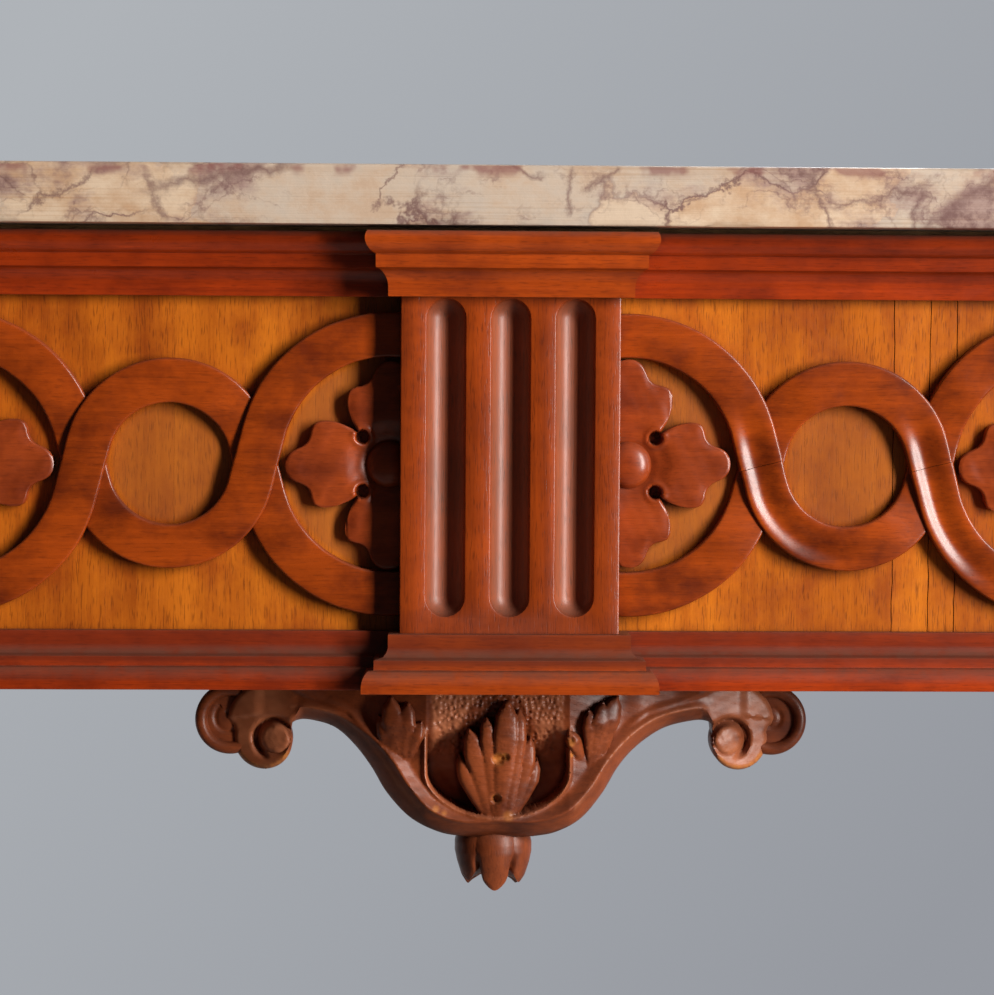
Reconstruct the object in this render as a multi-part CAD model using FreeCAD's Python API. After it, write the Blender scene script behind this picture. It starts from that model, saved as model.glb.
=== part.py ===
import FreeCAD, Part
import math
import os

V = FreeCAD.Vector
os.makedirs("parts", exist_ok=True)

# Pier table with a loose marble top. Millimetres, +Z up, floor at z = 0, front towards -Y.

# Heights, from the floor up.
leg_height = 677.5  # floor to the underside of the apron
base_height = 22.3  # base moulding
frieze_height = 130.0  # plain face between the two mouldings
crown_height = 25.2  # crown moulding
slab_gap = 2.0  # rails and posts stand this far above the crown moulding
slab_thickness = 23.0

# Plan of the frame.
post_width = 85.0  # square posts at the corners
block_width = post_width  # the fluted block in the middle of the front matches the posts
block_step = 16.0  # posts and block stand this far in front of the panels
veneer_thickness = 3.0
rail_thickness = 28.0
back_rail_thickness = 24.0
back_rail_inset = 3.0
slab_overhang = 15.0  # beyond the posts at the front and the sides
slab_arris = 1.2
crown_reach = 14.0  # how far the mouldings stand out
base_reach = 14.8

# Guilloche: rings of two sizes in turn, joined by straight crossings.
front_periods = 3
side_periods = 2
band_width = 17.2
band_thickness = 6.0
frieze_margin = 5.9  # plain frieze above and below the large rings
large_radius = (frieze_height - band_width) / 2 - frieze_margin  # to the middle of the band
small_radius = 0.64 * large_radius
ring_spacing = 1.0325 * (large_radius + small_radius)
ring_offset = 4.0  # centre of the first ring from the side of the block

# Rosettes in the large rings.
rosette_thickness = 5.5
rosette_gap = 0.4
rosette_reach = large_radius - band_width / 2 - rosette_gap
boss_radius = 0.265 * rosette_reach
boss_rise = 2.5
eye_radius = 0.067 * rosette_reach

# Flutes of the blocks.
flute_count = 3
flute_width = 0.18 * post_width
flute_pitch = 0.294 * post_width
flute_depth = 0.45 * flute_width
flute_margin = 6.5  # plain wood below the flutes

# Joinery.
tenon_length = 30.0
tenon_thickness = 10.0
tenon_set = block_step + veneer_thickness + (rail_thickness - tenon_thickness) / 2
tenon_shoulder = 18.0  # wood kept above and below a tenon
joint_clearance = 0.1
bearer_width = 60.0
bearer_thickness = 25.0
bearer_lap = 14.0
glue_block_side = 30.0
glue_block_height = 110.0

# Turned leg.
foot_radius = 13.0
foot_swell = 23.0
shaft_foot_radius = 18.0
shaft_top_radius = 29.0
shaft_foot_z = 98.0
capital_height = 72.0  # turned work above the shaft
shaft_flutes = 12
shaft_flute_margin = 14.0

# Carved pendant under the middle of the front.
pendant_half = 107.0  # middle to the outer edge of a front volute
pendant_offset = -3.5  # the carved pendant sits a little left of the middle
pendant_height = 59.0
pendant_front = 14.0  # face of the block to the face of the scrolls
pendant_depth = 33.0
volute_radius = 12.3
back_curl_radius = 13.2
back_curl_depth = 14.0
pocket_half = 27.5
pocket_depth = 11.0
drop_radius = 15.9
drop_height = 23.5
spigot_radius = 5.0
spigot_length = 12.0

# Fasteners.
screw_radius = 2.3
screw_head_radius = 4.4
screw_head_height = 2.8
bearer_screw_length = 45.0
pendant_screw_length = 36.0
pendant_screw_x = 62.0
pin_radius = 0.8
pin_length = 16.0
hole_clearance = 0.05

# Levels and lines that follow from the sizes above.
apron_bottom = leg_height
frieze_bottom = apron_bottom + base_height
frieze_top = frieze_bottom + frieze_height
crown_top = frieze_top + crown_height
rail_top = crown_top + slab_gap
table_height = rail_top + slab_thickness
frieze_middle = (frieze_bottom + frieze_top) / 2

front_span = 2 * ring_offset + 2 * front_periods * ring_spacing
side_span = 2 * ring_offset + 2 * side_periods * ring_spacing
block_x = block_width / 2
post_in = block_x + front_span
post_out = post_in + post_width
frame_depth = 2 * post_width + side_span
y_front = -(frame_depth + slab_overhang) / 2 + slab_overhang
y_back = y_front + frame_depth
y_panel = y_front + block_step
y_rail = y_panel + veneer_thickness
y_rail_in = y_rail + rail_thickness
y_front_post = y_front + post_width
y_back_post = y_back - post_width
x_panel = post_out - block_step
x_rail = x_panel - veneer_thickness
x_rail_in = x_rail - rail_thickness
slab_half = post_out + slab_overhang
y_slab = y_front - slab_overhang
y_back_rail = y_back - back_rail_inset
y_back_rail_in = y_back_rail - back_rail_thickness
bearer_x = post_in / 2


def box(x0, x1, y0, y1, z0, z1):
    return Part.makeBox(x1 - x0, y1 - y0, z1 - z0, V(x0, y0, z0))


def outline(start, *steps):
    # A step is a point for a straight side, or (middle, end) for an arc.
    edges = []
    at = V(*start)
    for step in steps + (start,):
        if isinstance(step[0], tuple):
            mid, end = V(*step[0]), V(*step[1])
            edges.append(Part.Arc(at, mid, end).toShape())
        else:
            end = V(*step)
            if at.distanceToPoint(end) < 1e-6:
                continue
            edges.append(Part.makeLine(at, end))
        at = end
    return Part.Face(Part.Wire(edges))


def mirrored(shape):
    return shape.mirror(V(0, 0, 0), V(1, 0, 0))


def turned_right(shape):
    # Carries a piece that faces -Y round to face +X.
    return shape.rotated(V(0, 0, 0), V(0, 0, 1), 90)


def save(name, shapes):
    solids = shapes if isinstance(shapes, list) else [shapes]
    shape = solids[0] if len(solids) == 1 else Part.makeCompound(solids)
    shape.exportStep("parts/" + name + ".step")


# Mouldings run round the front and sides and break round every block.
# Their sections are given as shares of the reach and of the height.
def crown_profile():
    def at(out, down):
        return 0, -out * crown_reach, -down * crown_height

    return outline(
        at(0, 0),
        at(0.93, 0),
        (at(1, 0.12), at(0.915, 0.25)),
        (at(0.8, 0.322), at(0.7, 0.352)),
        at(0.7, 0.56),
        at(0.6, 0.58),
        (at(0.43, 0.69), at(0.355, 0.84)),
        at(0.355, 1),
        at(0, 1),
    )


def base_profile():
    def at(out, down):
        return 0, -out * base_reach, -down * base_height

    return outline(
        at(0, 0),
        at(0.3, 0),
        at(0.3, 0.2),
        (at(0.335, 0.31), at(0.45, 0.4)),
        at(0.67, 0.43),
        at(0.67, 0.605),
        at(0.83, 0.612),
        (at(0.945, 0.73), at(1, 0.88)),
        at(1, 1),
        at(0, 1),
    )


left_path = [
    (-post_out, y_back),
    (-post_out, y_back_post),
    (-x_panel, y_back_post),
    (-x_panel, y_front_post),
    (-post_out, y_front_post),
    (-post_out, y_front),
    (-post_in, y_front),
    (-post_in, y_panel),
    (-block_x, y_panel),
    (-block_x, y_front),
]
path = left_path + [(-x, y) for x, y in reversed(left_path)]
run_names = [
    ("corner_back_left", 0, 2),
    ("left", 2, 3),
    ("corner_front_left", 3, 7),
    ("front_left", 7, 8),
    ("center", 8, 11),
    ("front_right", 11, 12),
    ("corner_front_right", 12, 16),
    ("right", 16, 17),
    ("corner_back_right", 17, 19),
]


def heading(i):
    (x0, y0), (x1, y1) = path[i], path[i + 1]
    length = math.hypot(x1 - x0, y1 - y0)
    return (x1 - x0) / length, (y1 - y0) / length, length


def mitre(i):
    # Outward direction of the mitre at a corner of the path; square at its two ends.
    sides = [heading(k) for k in (i - 1, i) if 0 <= k < len(path) - 1]
    return sum(dy for dx, dy, n in sides), sum(-dx for dx, dy, n in sides)


def moulding(i, profile, reach, top):
    dx, dy, length = heading(i)
    bar = profile.extrude(V(length + 2 * reach, 0, 0))
    bar.translate(V(-reach, 0, 0))
    bar.rotate(V(0, 0, 0), V(0, 0, 1), math.degrees(math.atan2(dy, dx)))
    bar.translate(V(path[i][0], path[i][1], top))
    plan = []
    for k, out in ((i, -1), (i, reach + 1), (i + 1, reach + 1), (i + 1, -1)):
        mx, my = mitre(k)
        plan.append(V(path[k][0] + out * mx, path[k][1] + out * my, 0))
    keep = Part.Face(Part.makePolygon(plan + plan[:1])).extrude(V(0, 0, table_height))
    return bar.common(keep).Solids[0]


# Pins through the foot of the crown moulding.
pin_z = frieze_top + 0.085 * crown_height
pin_front = 0.31 * crown_reach


def pin(x, y):
    return Part.makeCylinder(pin_radius, pin_length, V(x, y, pin_z), V(0, 1, 0))


def pin_hole(x, y):
    return Part.makeCylinder(
        pin_radius + hole_clearance, 2 * pin_length, V(x, y - pin_length, pin_z), V(0, 1, 0)
    )


# Rings of the guilloche, in a panel that starts at x = 0, faces -Y and has z = 0 mid-way up.
cross_angle = math.degrees(math.acos((large_radius + small_radius) / ring_spacing))


def ring_radius(k):
    return small_radius if k % 2 else large_radius


def ring_x(k):
    return ring_offset + k * ring_spacing


def crossing_x(k):
    # Crossing between ring k and the next one.
    return ring_x(k) + ring_spacing * ring_radius(k) / (large_radius + small_radius)


def polar(x, radius, angle):
    a = math.radians(angle)
    return x + radius * math.cos(a), 0, radius * math.sin(a)


def band(k, a0, a1, tail0, tail1):
    # Half ring from angle a0 to a1, with straight tails to the crossings on either side.
    half = band_width / 2
    x = ring_x(k)
    side = []
    for radius in (ring_radius(k) + half, ring_radius(k) - half):
        side.append([polar(x, radius, a) for a in (a0, (a0 + a1) / 2, a1)])
    ends = []
    for a, tail, xc in ((a0, tail0, crossing_x(k - 1)), (a1, tail1, crossing_x(k))):
        ends.append([polar(xc, s * half, a) for s in (1, -1)] if tail else None)
    (o0, om, o1), (i0, im, i1) = side
    steps = [(om, o1)]
    steps += ends[1] if ends[1] else []
    steps += [i1, (im, i0)]
    steps += ends[0][::-1] if ends[0] else []
    return outline(o0, *steps).extrude(V(0, -band_thickness, 0))


def upper_half(k, start=None, end=None):
    a0 = 180 - cross_angle if start is None else start
    a1 = cross_angle if end is None else end
    return band(k, a0, a1, start is None, end is None)


def lower_half(k, start=None, end=None):
    a0 = 180 + cross_angle if start is None else start
    a1 = 360 - cross_angle if end is None else end
    return band(k, a0, a1, start is None, end is None)


def guilloche(periods, span):
    # At every crossing the band that falls away from the block lies over the one that rises.
    last = 2 * periods
    over = [upper_half(k, start=90).fuse(lower_half(k + 1, end=270)) for k in range(last)]
    clip = box(0, span, -2 * band_thickness, 1, -frieze_height, frieze_height)
    pieces = []
    for k in range(last + 1):
        top = upper_half(k, start=120 if k == 0 else None, end=60 if k == last else None)
        bottom = lower_half(k, start=240 if k == 0 else None, end=300 if k == last else None)
        if k > 0:
            top = top.cut(over[k - 1])
        if k < last:
            bottom = bottom.cut(over[k])
        for piece in (top, bottom):
            if k in (0, last):
                piece = piece.common(clip)
            pieces += piece.Solids
    return pieces


def rosette():
    # Four trefoil petals round a domed boss, with a drilled eye between each two.
    reach = rosette_reach
    out = V(0, -1, 0)
    tip = 0.205 * reach
    lobe = 0.22 * reach
    web = 0.46 * reach
    petal = Part.makeCylinder(tip, rosette_thickness, V(reach - tip, 0, 0), out)
    for side in (-1, 1):
        at = V(0.57 * reach, 0, side * 0.225 * reach)
        petal = petal.fuse(Part.makeCylinder(lobe, rosette_thickness, at, out))
    petal = petal.fuse(box(0, 0.8 * reach, -rosette_thickness, 0, -0.15 * reach, 0.15 * reach))
    turns = [0, 90, 180, 270]
    flower = Part.makeCylinder(web, 0.6 * rosette_thickness, V(0, 0, 0), out)
    flower = flower.fuse([petal.rotated(V(0, 0, 0), V(0, 1, 0), a) for a in turns])
    eyes = [V(*polar(0, 0.4 * reach, 45 + a)) for a in turns]
    flower = flower.cut([Part.makeCylinder(eye_radius, rosette_thickness, at, out) for at in eyes])
    rise = rosette_thickness + boss_rise
    ball = (boss_radius**2 + boss_rise**2) / (2 * boss_rise)
    dome = Part.makeSphere(ball, V(0, ball - rise, 0))
    boss = Part.makeCylinder(boss_radius, rise, V(0, 0, 0), out).common(dome)
    return flower.fuse(boss).removeSplitter()


flower = rosette()


def rosettes(periods, span):
    clip = box(0, span, -frieze_height, 1, -frieze_height, frieze_height)
    pieces = []
    for k in range(0, 2 * periods + 1, 2):
        piece = flower.translated(V(ring_x(k), 0, 0))
        pieces += piece.common(clip).Solids if k in (0, 2 * periods) else [piece]
    return pieces


def flutes(z0, z1):
    # Round-ended flutes for a face in the plane y = 0 that looks towards -Y.
    half = flute_width / 2
    radius = (half**2 + flute_depth**2) / (2 * flute_depth)
    y = flute_depth - radius
    tools = []
    for n in range(flute_count):
        x = (n - (flute_count - 1) / 2) * flute_pitch
        low, high = V(x, y, z0 + half), V(x, y, z1 - half)
        rod = Part.makeCylinder(radius, high.z - low.z, low)
        tools.append(rod.fuse([Part.makeSphere(radius, low), Part.makeSphere(radius, high)]))
    return Part.makeCompound(tools)


flute_tools = flutes(frieze_bottom + flute_margin, frieze_top - 0.5)


def turned_leg():
    # Section from the floor to the apron, turned about the middle of the post.
    # Heights are shares of the foot and of the capital.
    shaft_top_z = leg_height - capital_height

    def low(radius, share):
        return radius, 0, share * shaft_foot_z

    def high(radius, share):
        return radius, 0, shaft_top_z + share * capital_height

    neck = shaft_foot_radius - 1
    collar = shaft_foot_radius + 1.5
    top = shaft_top_radius
    section = outline(
        low(0, 0),
        low(foot_radius, 0),
        (low(foot_swell - 2.5, 0.245), low(foot_swell, 0.51)),
        (low(foot_swell - 1.2, 0.62), low(neck, 0.695)),
        low(neck - 1.5, 0.695),
        low(neck - 1.5, 0.755),
        (low(foot_swell - 1, 0.815), low(neck, 0.89)),
        low(collar, 0.89),
        low(collar, 0.94),
        low(shaft_foot_radius, 1),
        high(top, 0),
        high(top + 2.5, 0.055),
        high(top + 2.5, 0.11),
        (high(top - 2, 0.195), high(top - 3, 0.305)),
        (high(top + 5, 0.4), high(top - 2, 0.5)),
        (high(top + 7, 0.655), high(top + 9, 0.835)),
        high(top + 11, 0.835),
        high(top + 11, 1),
        high(0, 1),
    )
    leg = section.revolve(V(0, 0, 0), V(0, 0, 1), 360)
    slope = (shaft_top_radius - shaft_foot_radius) / (shaft_top_z - shaft_foot_z)
    z0 = shaft_foot_z + shaft_flute_margin
    z1 = shaft_top_z - shaft_flute_margin
    ends = []
    for z in (z0, z1):
        r = shaft_foot_radius + slope * (z - shaft_foot_z)
        ends.append((V(r, 0, z), 0.34 * 2 * math.pi * r / shaft_flutes))
    (foot, r_foot), (head, r_head) = ends
    way = head.sub(foot)
    cone = Part.makeCone(r_foot, r_head, way.Length, foot, way)
    flute = cone.fuse([Part.makeSphere(r_foot, foot), Part.makeSphere(r_head, head)])
    turns = [(n + 0.5) * 360 / shaft_flutes for n in range(shaft_flutes)]
    return leg.cut([flute.rotated(V(0, 0, 0), V(0, 0, 1), a) for a in turns])


def tenon_heights():
    return apron_bottom + tenon_shoulder, rail_top - tenon_shoulder


def front_tenon(grow):
    z0, z1 = tenon_heights()
    y = y_front + tenon_set
    x1 = post_in + tenon_length
    return box(post_in - 1, x1 + grow, y - grow, y + tenon_thickness + grow, z0 - grow, z1 + grow)


def side_tenon(grow, at_front):
    z0, z1 = tenon_heights()
    x = post_out - tenon_set - tenon_thickness
    if at_front:
        y0, y1 = y_front_post - tenon_length - grow, y_front_post + 1
    else:
        y0, y1 = y_back_post - 1, y_back_post + tenon_length + grow
    return box(x - grow, x + tenon_thickness + grow, y0, y1, z0 - grow, z1 + grow)


def back_tenon(grow):
    z0, z1 = tenon_heights()
    y = y_back_rail_in + (back_rail_thickness - tenon_thickness) / 2
    x1 = post_in + tenon_length
    return box(post_in - 1, x1 + grow, y - grow, y + tenon_thickness + grow, z0 - grow, z1 + grow)


# Legs and posts, made on the right and mirrored to the left.
post_x = (post_in + post_out) / 2
leg_blank = turned_leg().fuse(
    box(-post_width / 2, post_width / 2, -post_width / 2, post_width / 2, apron_bottom, rail_top)
)
front_leg = leg_blank.translated(V(post_x, y_front + post_width / 2, 0))
front_leg = front_leg.cut(flute_tools.translated(V(post_x, y_front, 0)))
front_flutes_right = turned_right(flute_tools).translated(V(post_out, y_front + post_width / 2, 0))
front_leg = front_leg.cut(front_flutes_right)
front_leg = front_leg.cut(front_tenon(joint_clearance)).cut(side_tenon(joint_clearance, True))
save("leg_front_right", front_leg)
save("leg_front_left", mirrored(front_leg))

back_leg = leg_blank.translated(V(post_x, y_back - post_width / 2, 0))
back_flutes_right = turned_right(flute_tools).translated(V(post_out, y_back - post_width / 2, 0))
back_leg = back_leg.cut(back_flutes_right)
back_leg = back_leg.cut(back_tenon(joint_clearance)).cut(side_tenon(joint_clearance, False))
save("leg_back_right", back_leg)
save("leg_back_left", mirrored(back_leg))

# Bearers that carry the middle of the slab, lapped into the front and back rails.
bearer = box(
    bearer_x - bearer_width / 2,
    bearer_x + bearer_width / 2,
    y_rail_in - bearer_lap,
    y_back_rail_in + bearer_lap,
    rail_top - bearer_thickness,
    rail_top,
)
bearer_screws = []
for y in (y_rail_in - bearer_lap / 2, y_back_rail_in + bearer_lap / 2):
    head = Part.makeCone(
        screw_radius, screw_head_radius, screw_head_height, V(bearer_x, y, rail_top - screw_head_height)
    )
    shank = Part.makeCylinder(
        screw_radius,
        bearer_screw_length,
        V(bearer_x, y, rail_top - bearer_screw_length),
    )
    bearer_screws.append(head.fuse(shank))

# Screws that hold the pendant, driven up into the front rail.
y_pendant_back = y_front + pendant_front + pendant_depth
y_pendant_screw = (y_rail + y_pendant_back) / 2
pendant_seat = apron_bottom - 8.0


def pendant_screw():
    at = V(pendant_screw_x, y_pendant_screw, pendant_seat)
    head = Part.makeCone(screw_head_radius, screw_radius, screw_head_height, at)
    shank = Part.makeCylinder(screw_radius, pendant_screw_length, at)
    return head.fuse(shank)


right_pendant_screw = pendant_screw()
pendant_shift = V(pendant_offset, 0, 0)
pendant_screws = [s.translated(pendant_shift) for s in (right_pendant_screw, mirrored(right_pendant_screw))]

# Rails.
front_rail = box(-post_in, post_in, y_rail, y_rail_in, apron_bottom, rail_top)
back_rail = box(-post_in, post_in, y_back_rail_in, y_back_rail, apron_bottom, rail_top)
right_rail = box(x_rail_in, x_rail, y_front_post, y_back_post, apron_bottom, rail_top)
front_rail = front_rail.fuse([front_tenon(0), mirrored(front_tenon(0))])
back_rail = back_rail.fuse([back_tenon(0), mirrored(back_tenon(0))])
right_rail = right_rail.fuse([side_tenon(0, True), side_tenon(0, False)])

front_pins = []
for n in range(2 * front_periods):
    x = block_x + ring_offset + (n + 0.5) * ring_spacing
    front_pins.append(x)
    front_pins.append(-x)
pin_y = y_panel - pin_front
pin_holes = [pin_hole(x, pin_y) for x in front_pins]
pins = [pin(x, pin_y) for x in front_pins]

both_bearers = [bearer, mirrored(bearer)]
both_screws = bearer_screws + [mirrored(s) for s in bearer_screws]
front_rail = front_rail.cut(both_bearers + both_screws + pendant_screws + pin_holes)
back_rail = back_rail.cut(both_bearers + both_screws)
bearer = bearer.cut(bearer_screws)
save("front_rail", front_rail.removeSplitter())
save("back_rail", back_rail.removeSplitter())
save("right_rail", right_rail.removeSplitter())
save("left_rail", mirrored(right_rail.removeSplitter()))
save("bearer_right", bearer)
save("bearer_left", mirrored(bearer))
save("bearer_screws", both_screws)
save("pendant_screws", pendant_screws)
save("crown_pins", pins)

# Glue blocks in the corners between the rails and the posts.
glue_z = rail_top - tenon_shoulder - glue_block_height


def glue_block(x, y, dx, dy):
    along = V(x + dx * glue_block_side, y, glue_z)
    across = V(x, y + dy * glue_block_side, glue_z)
    corner = V(x, y, glue_z)
    return Part.Face(Part.makePolygon([corner, along, across, corner])).extrude(V(0, 0, glue_block_height))


front_glue = [glue_block(post_in, y_rail_in, -1, 1), glue_block(x_rail_in, y_front_post, -1, 1)]
back_glue = [glue_block(post_in, y_back_rail_in, -1, -1), glue_block(x_rail_in, y_back_post, -1, -1)]
save("glue_blocks_front", front_glue + [mirrored(g) for g in front_glue])
save("glue_blocks_back", back_glue + [mirrored(g) for g in back_glue])

# Veneered faces of the apron.
veneer = box(block_x, post_in, y_panel, y_rail, apron_bottom, crown_top)
save("veneer_front_right", veneer.cut(pin_holes))
save("veneer_front_left", mirrored(veneer.cut(pin_holes)))
side_veneer = box(x_rail, x_panel, y_front_post, y_back_post, apron_bottom, crown_top)
save("veneer_right", side_veneer)
save("veneer_left", mirrored(side_veneer))

center_block = box(-block_x, block_x, y_front, y_rail, apron_bottom, crown_top)
save("center_block", center_block.cut(flute_tools.translated(V(0, y_front, 0))))

# Crown and base mouldings.
for kind, profile, reach, top in (
    ("crown", crown_profile(), crown_reach, crown_top),
    ("base", base_profile(), base_reach, frieze_bottom),
):
    for name, first, stop in run_names:
        runs = [moulding(i, profile, reach, top) for i in range(first, stop)]
        if kind == "crown" and name in ("front_left", "front_right"):
            runs = [run.cut(pin_holes) for run in runs]
        save(kind + "_" + name, runs)

# Guilloche and rosettes on the front and the sides.
front_place = V(block_x, y_panel, frieze_middle)
side_place = V(x_panel, y_front_post, frieze_middle)
for name, make in (("guilloche", guilloche), ("rosettes", rosettes)):
    right = [s.translated(front_place) for s in make(front_periods, front_span)]
    save(name + "_front_right", right)
    save(name + "_front_left", [mirrored(s) for s in right])
    side = [turned_right(s).translated(side_place) for s in make(side_periods, side_span)]
    save(name + "_right", side)
    save(name + "_left", [mirrored(s) for s in side])

# Pendant: two scrolls that sweep up from the drop to volutes, a hollow with a leaf between them.
arm_curve = [(0.79, 0.21), (0.70, 0.23), (0.54, 0.35), (0.425, 0.61), (0.31, 0.87), (0.144, 1.0)]


def arm_point(fx, fz):
    return V(fx * pendant_half, 0, -fz * pendant_height)


def pendant_half_solid():
    curve = Part.BSplineCurve()
    curve.interpolate([arm_point(*p) for p in arm_curve])
    first, last = arm_point(*arm_curve[0]), arm_point(*arm_curve[-1])
    shoulder = V(0.9 * pendant_half, 0, 0)
    edge = V(pendant_half, 0, -volute_radius)
    bow = V(0.97 * pendant_half, 0, -0.35 * volute_radius)
    edges = [
        Part.makeLine(V(0, 0, 0), shoulder),
        Part.Arc(shoulder, bow, edge).toShape(),
        Part.makeLine(edge, first),
        curve.toShape(),
        Part.makeLine(last, V(0, 0, last.z)),
        Part.makeLine(V(0, 0, last.z), V(0, 0, 0)),
    ]
    arm = Part.Face(Part.Wire(edges)).extrude(V(0, pendant_depth, 0))
    eye = V(pendant_half - volute_radius, 0, -0.555 * pendant_height + volute_radius)
    volute = Part.makeCylinder(volute_radius, pendant_depth, eye, V(0, 1, 0))
    button = Part.makeCylinder(0.46 * volute_radius, 2.5, V(eye.x, -2.5, eye.z), V(0, 1, 0))
    curl_x = pendant_half + 0.08 * back_curl_radius
    curl_at = V(curl_x, pendant_depth - back_curl_depth, -back_curl_radius)
    curl = Part.makeCylinder(back_curl_radius, back_curl_depth, curl_at, V(0, 1, 0))
    return arm.fuse([volute, button, curl])


half = pendant_half_solid()
pendant = half.fuse(mirrored(half))
pocket_z = -0.84 * pendant_height
pocket = outline(
    (-pocket_half, 0, 1),
    (pocket_half, 0, 1),
    (pocket_half, 0, pocket_z + pocket_half),
    ((0, 0, pocket_z), (-pocket_half, 0, pocket_z + pocket_half)),
)
pendant = pendant.cut(pocket.extrude(V(0, pocket_depth, 0)))
leaf_rise = 3.0
for turn, length, width in ((0, 46.0, 7.5), (32, 33.0, 6.0), (-32, 33.0, 6.0)):
    foot = V(0, -leaf_rise, pocket_z + 1.0)
    tip = foot.add(V(0, 0, length - width))
    lobe = Part.makeCylinder(width, pocket_depth + leaf_rise, tip, V(0, 1, 0))
    stem = box(-width * 0.7, width * 0.7, -leaf_rise, pocket_depth, foot.z, foot.z + length - width)
    leaf = lobe.fuse(stem).rotated(foot, V(0, 1, 0), turn)
    pendant = pendant.fuse(leaf)
pendant = pendant.translated(V(pendant_offset, y_front + pendant_front, apron_bottom))

drop_top = apron_bottom - pendant_height
y_drop = y_front + pendant_front + pendant_depth / 2
spigot_hole = Part.makeCylinder(
    spigot_radius + joint_clearance, spigot_length + joint_clearance, V(pendant_offset, y_drop, drop_top)
)
head_bore = Part.makeCylinder(screw_head_radius, pendant_height, V(0, 0, -pendant_height))
bores = []
for s in (-1, 1):
    bore_at = V(pendant_offset + s * pendant_screw_x, y_pendant_screw, pendant_seat)
    bores.append(head_bore.translated(bore_at))
pendant = pendant.cut([spigot_hole] + bores + pendant_screws)
below = box(-slab_half, slab_half, y_slab, y_back, 0, apron_bottom)
pendant = pendant.common(below).removeSplitter()
save("pendant_bracket", pendant)

drop_section = outline(
    (0, 0, spigot_length),
    (spigot_radius, 0, spigot_length),
    (spigot_radius, 0, 0),
    (0.8 * drop_radius, 0, 0),
    ((drop_radius, 0, -0.3 * drop_height), (0.72 * drop_radius, 0, -0.72 * drop_height)),
    ((0.4 * drop_radius, 0, -0.92 * drop_height), (0.1 * drop_radius, 0, -drop_height)),
    (0, 0, -drop_height),
)
drop = drop_section.revolve(V(0, 0, 0), V(0, 0, 1), 360)
save("pendant_drop", drop.translated(V(pendant_offset, y_drop, drop_top)))

# Marble slab, loose on the rails, posts and bearers.
slab = box(-slab_half, slab_half, y_slab, y_back, rail_top, table_height)
top_edges = [e for e in slab.Edges if abs(e.CenterOfMass.z - table_height) < 1e-6]
arrises = [e for e in top_edges if e.CenterOfMass.y < y_back - 1]
save("marble_top", slab.makeFillet(slab_arris, arrises))
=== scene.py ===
import cmath
import math
import bmesh
import bpy
import numpy as np
from mathutils import Matrix, Vector
from mathutils.geometry import delaunay_2d_cdt, tessellate_polygon


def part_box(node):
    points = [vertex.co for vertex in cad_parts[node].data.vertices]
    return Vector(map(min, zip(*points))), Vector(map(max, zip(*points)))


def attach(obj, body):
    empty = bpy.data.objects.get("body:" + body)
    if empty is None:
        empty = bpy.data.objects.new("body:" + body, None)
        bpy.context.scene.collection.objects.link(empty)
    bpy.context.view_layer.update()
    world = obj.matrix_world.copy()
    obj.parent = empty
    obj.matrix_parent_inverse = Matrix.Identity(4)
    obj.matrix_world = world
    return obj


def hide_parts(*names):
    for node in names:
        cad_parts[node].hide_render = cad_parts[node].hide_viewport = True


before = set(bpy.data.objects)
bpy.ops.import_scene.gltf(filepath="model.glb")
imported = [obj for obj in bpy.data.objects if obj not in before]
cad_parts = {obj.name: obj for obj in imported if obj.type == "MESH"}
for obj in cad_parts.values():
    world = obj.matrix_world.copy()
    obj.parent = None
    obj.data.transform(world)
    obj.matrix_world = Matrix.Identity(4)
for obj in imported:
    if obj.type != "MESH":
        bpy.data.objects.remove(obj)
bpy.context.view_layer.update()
print("frame loaded:", len(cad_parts), "nodes")


# node helpers
def srgb(*levels):
    shares = [level / 255 for level in levels]
    return tuple(s / 12.92 if s <= 0.04045 else ((s + 0.055) / 1.055) ** 2.4 for s in shares) + (1.0,)


def scaled(color, gain):
    return tuple(min(1.0, level * gain) for level in color[:3]) + (1.0,)


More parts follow.
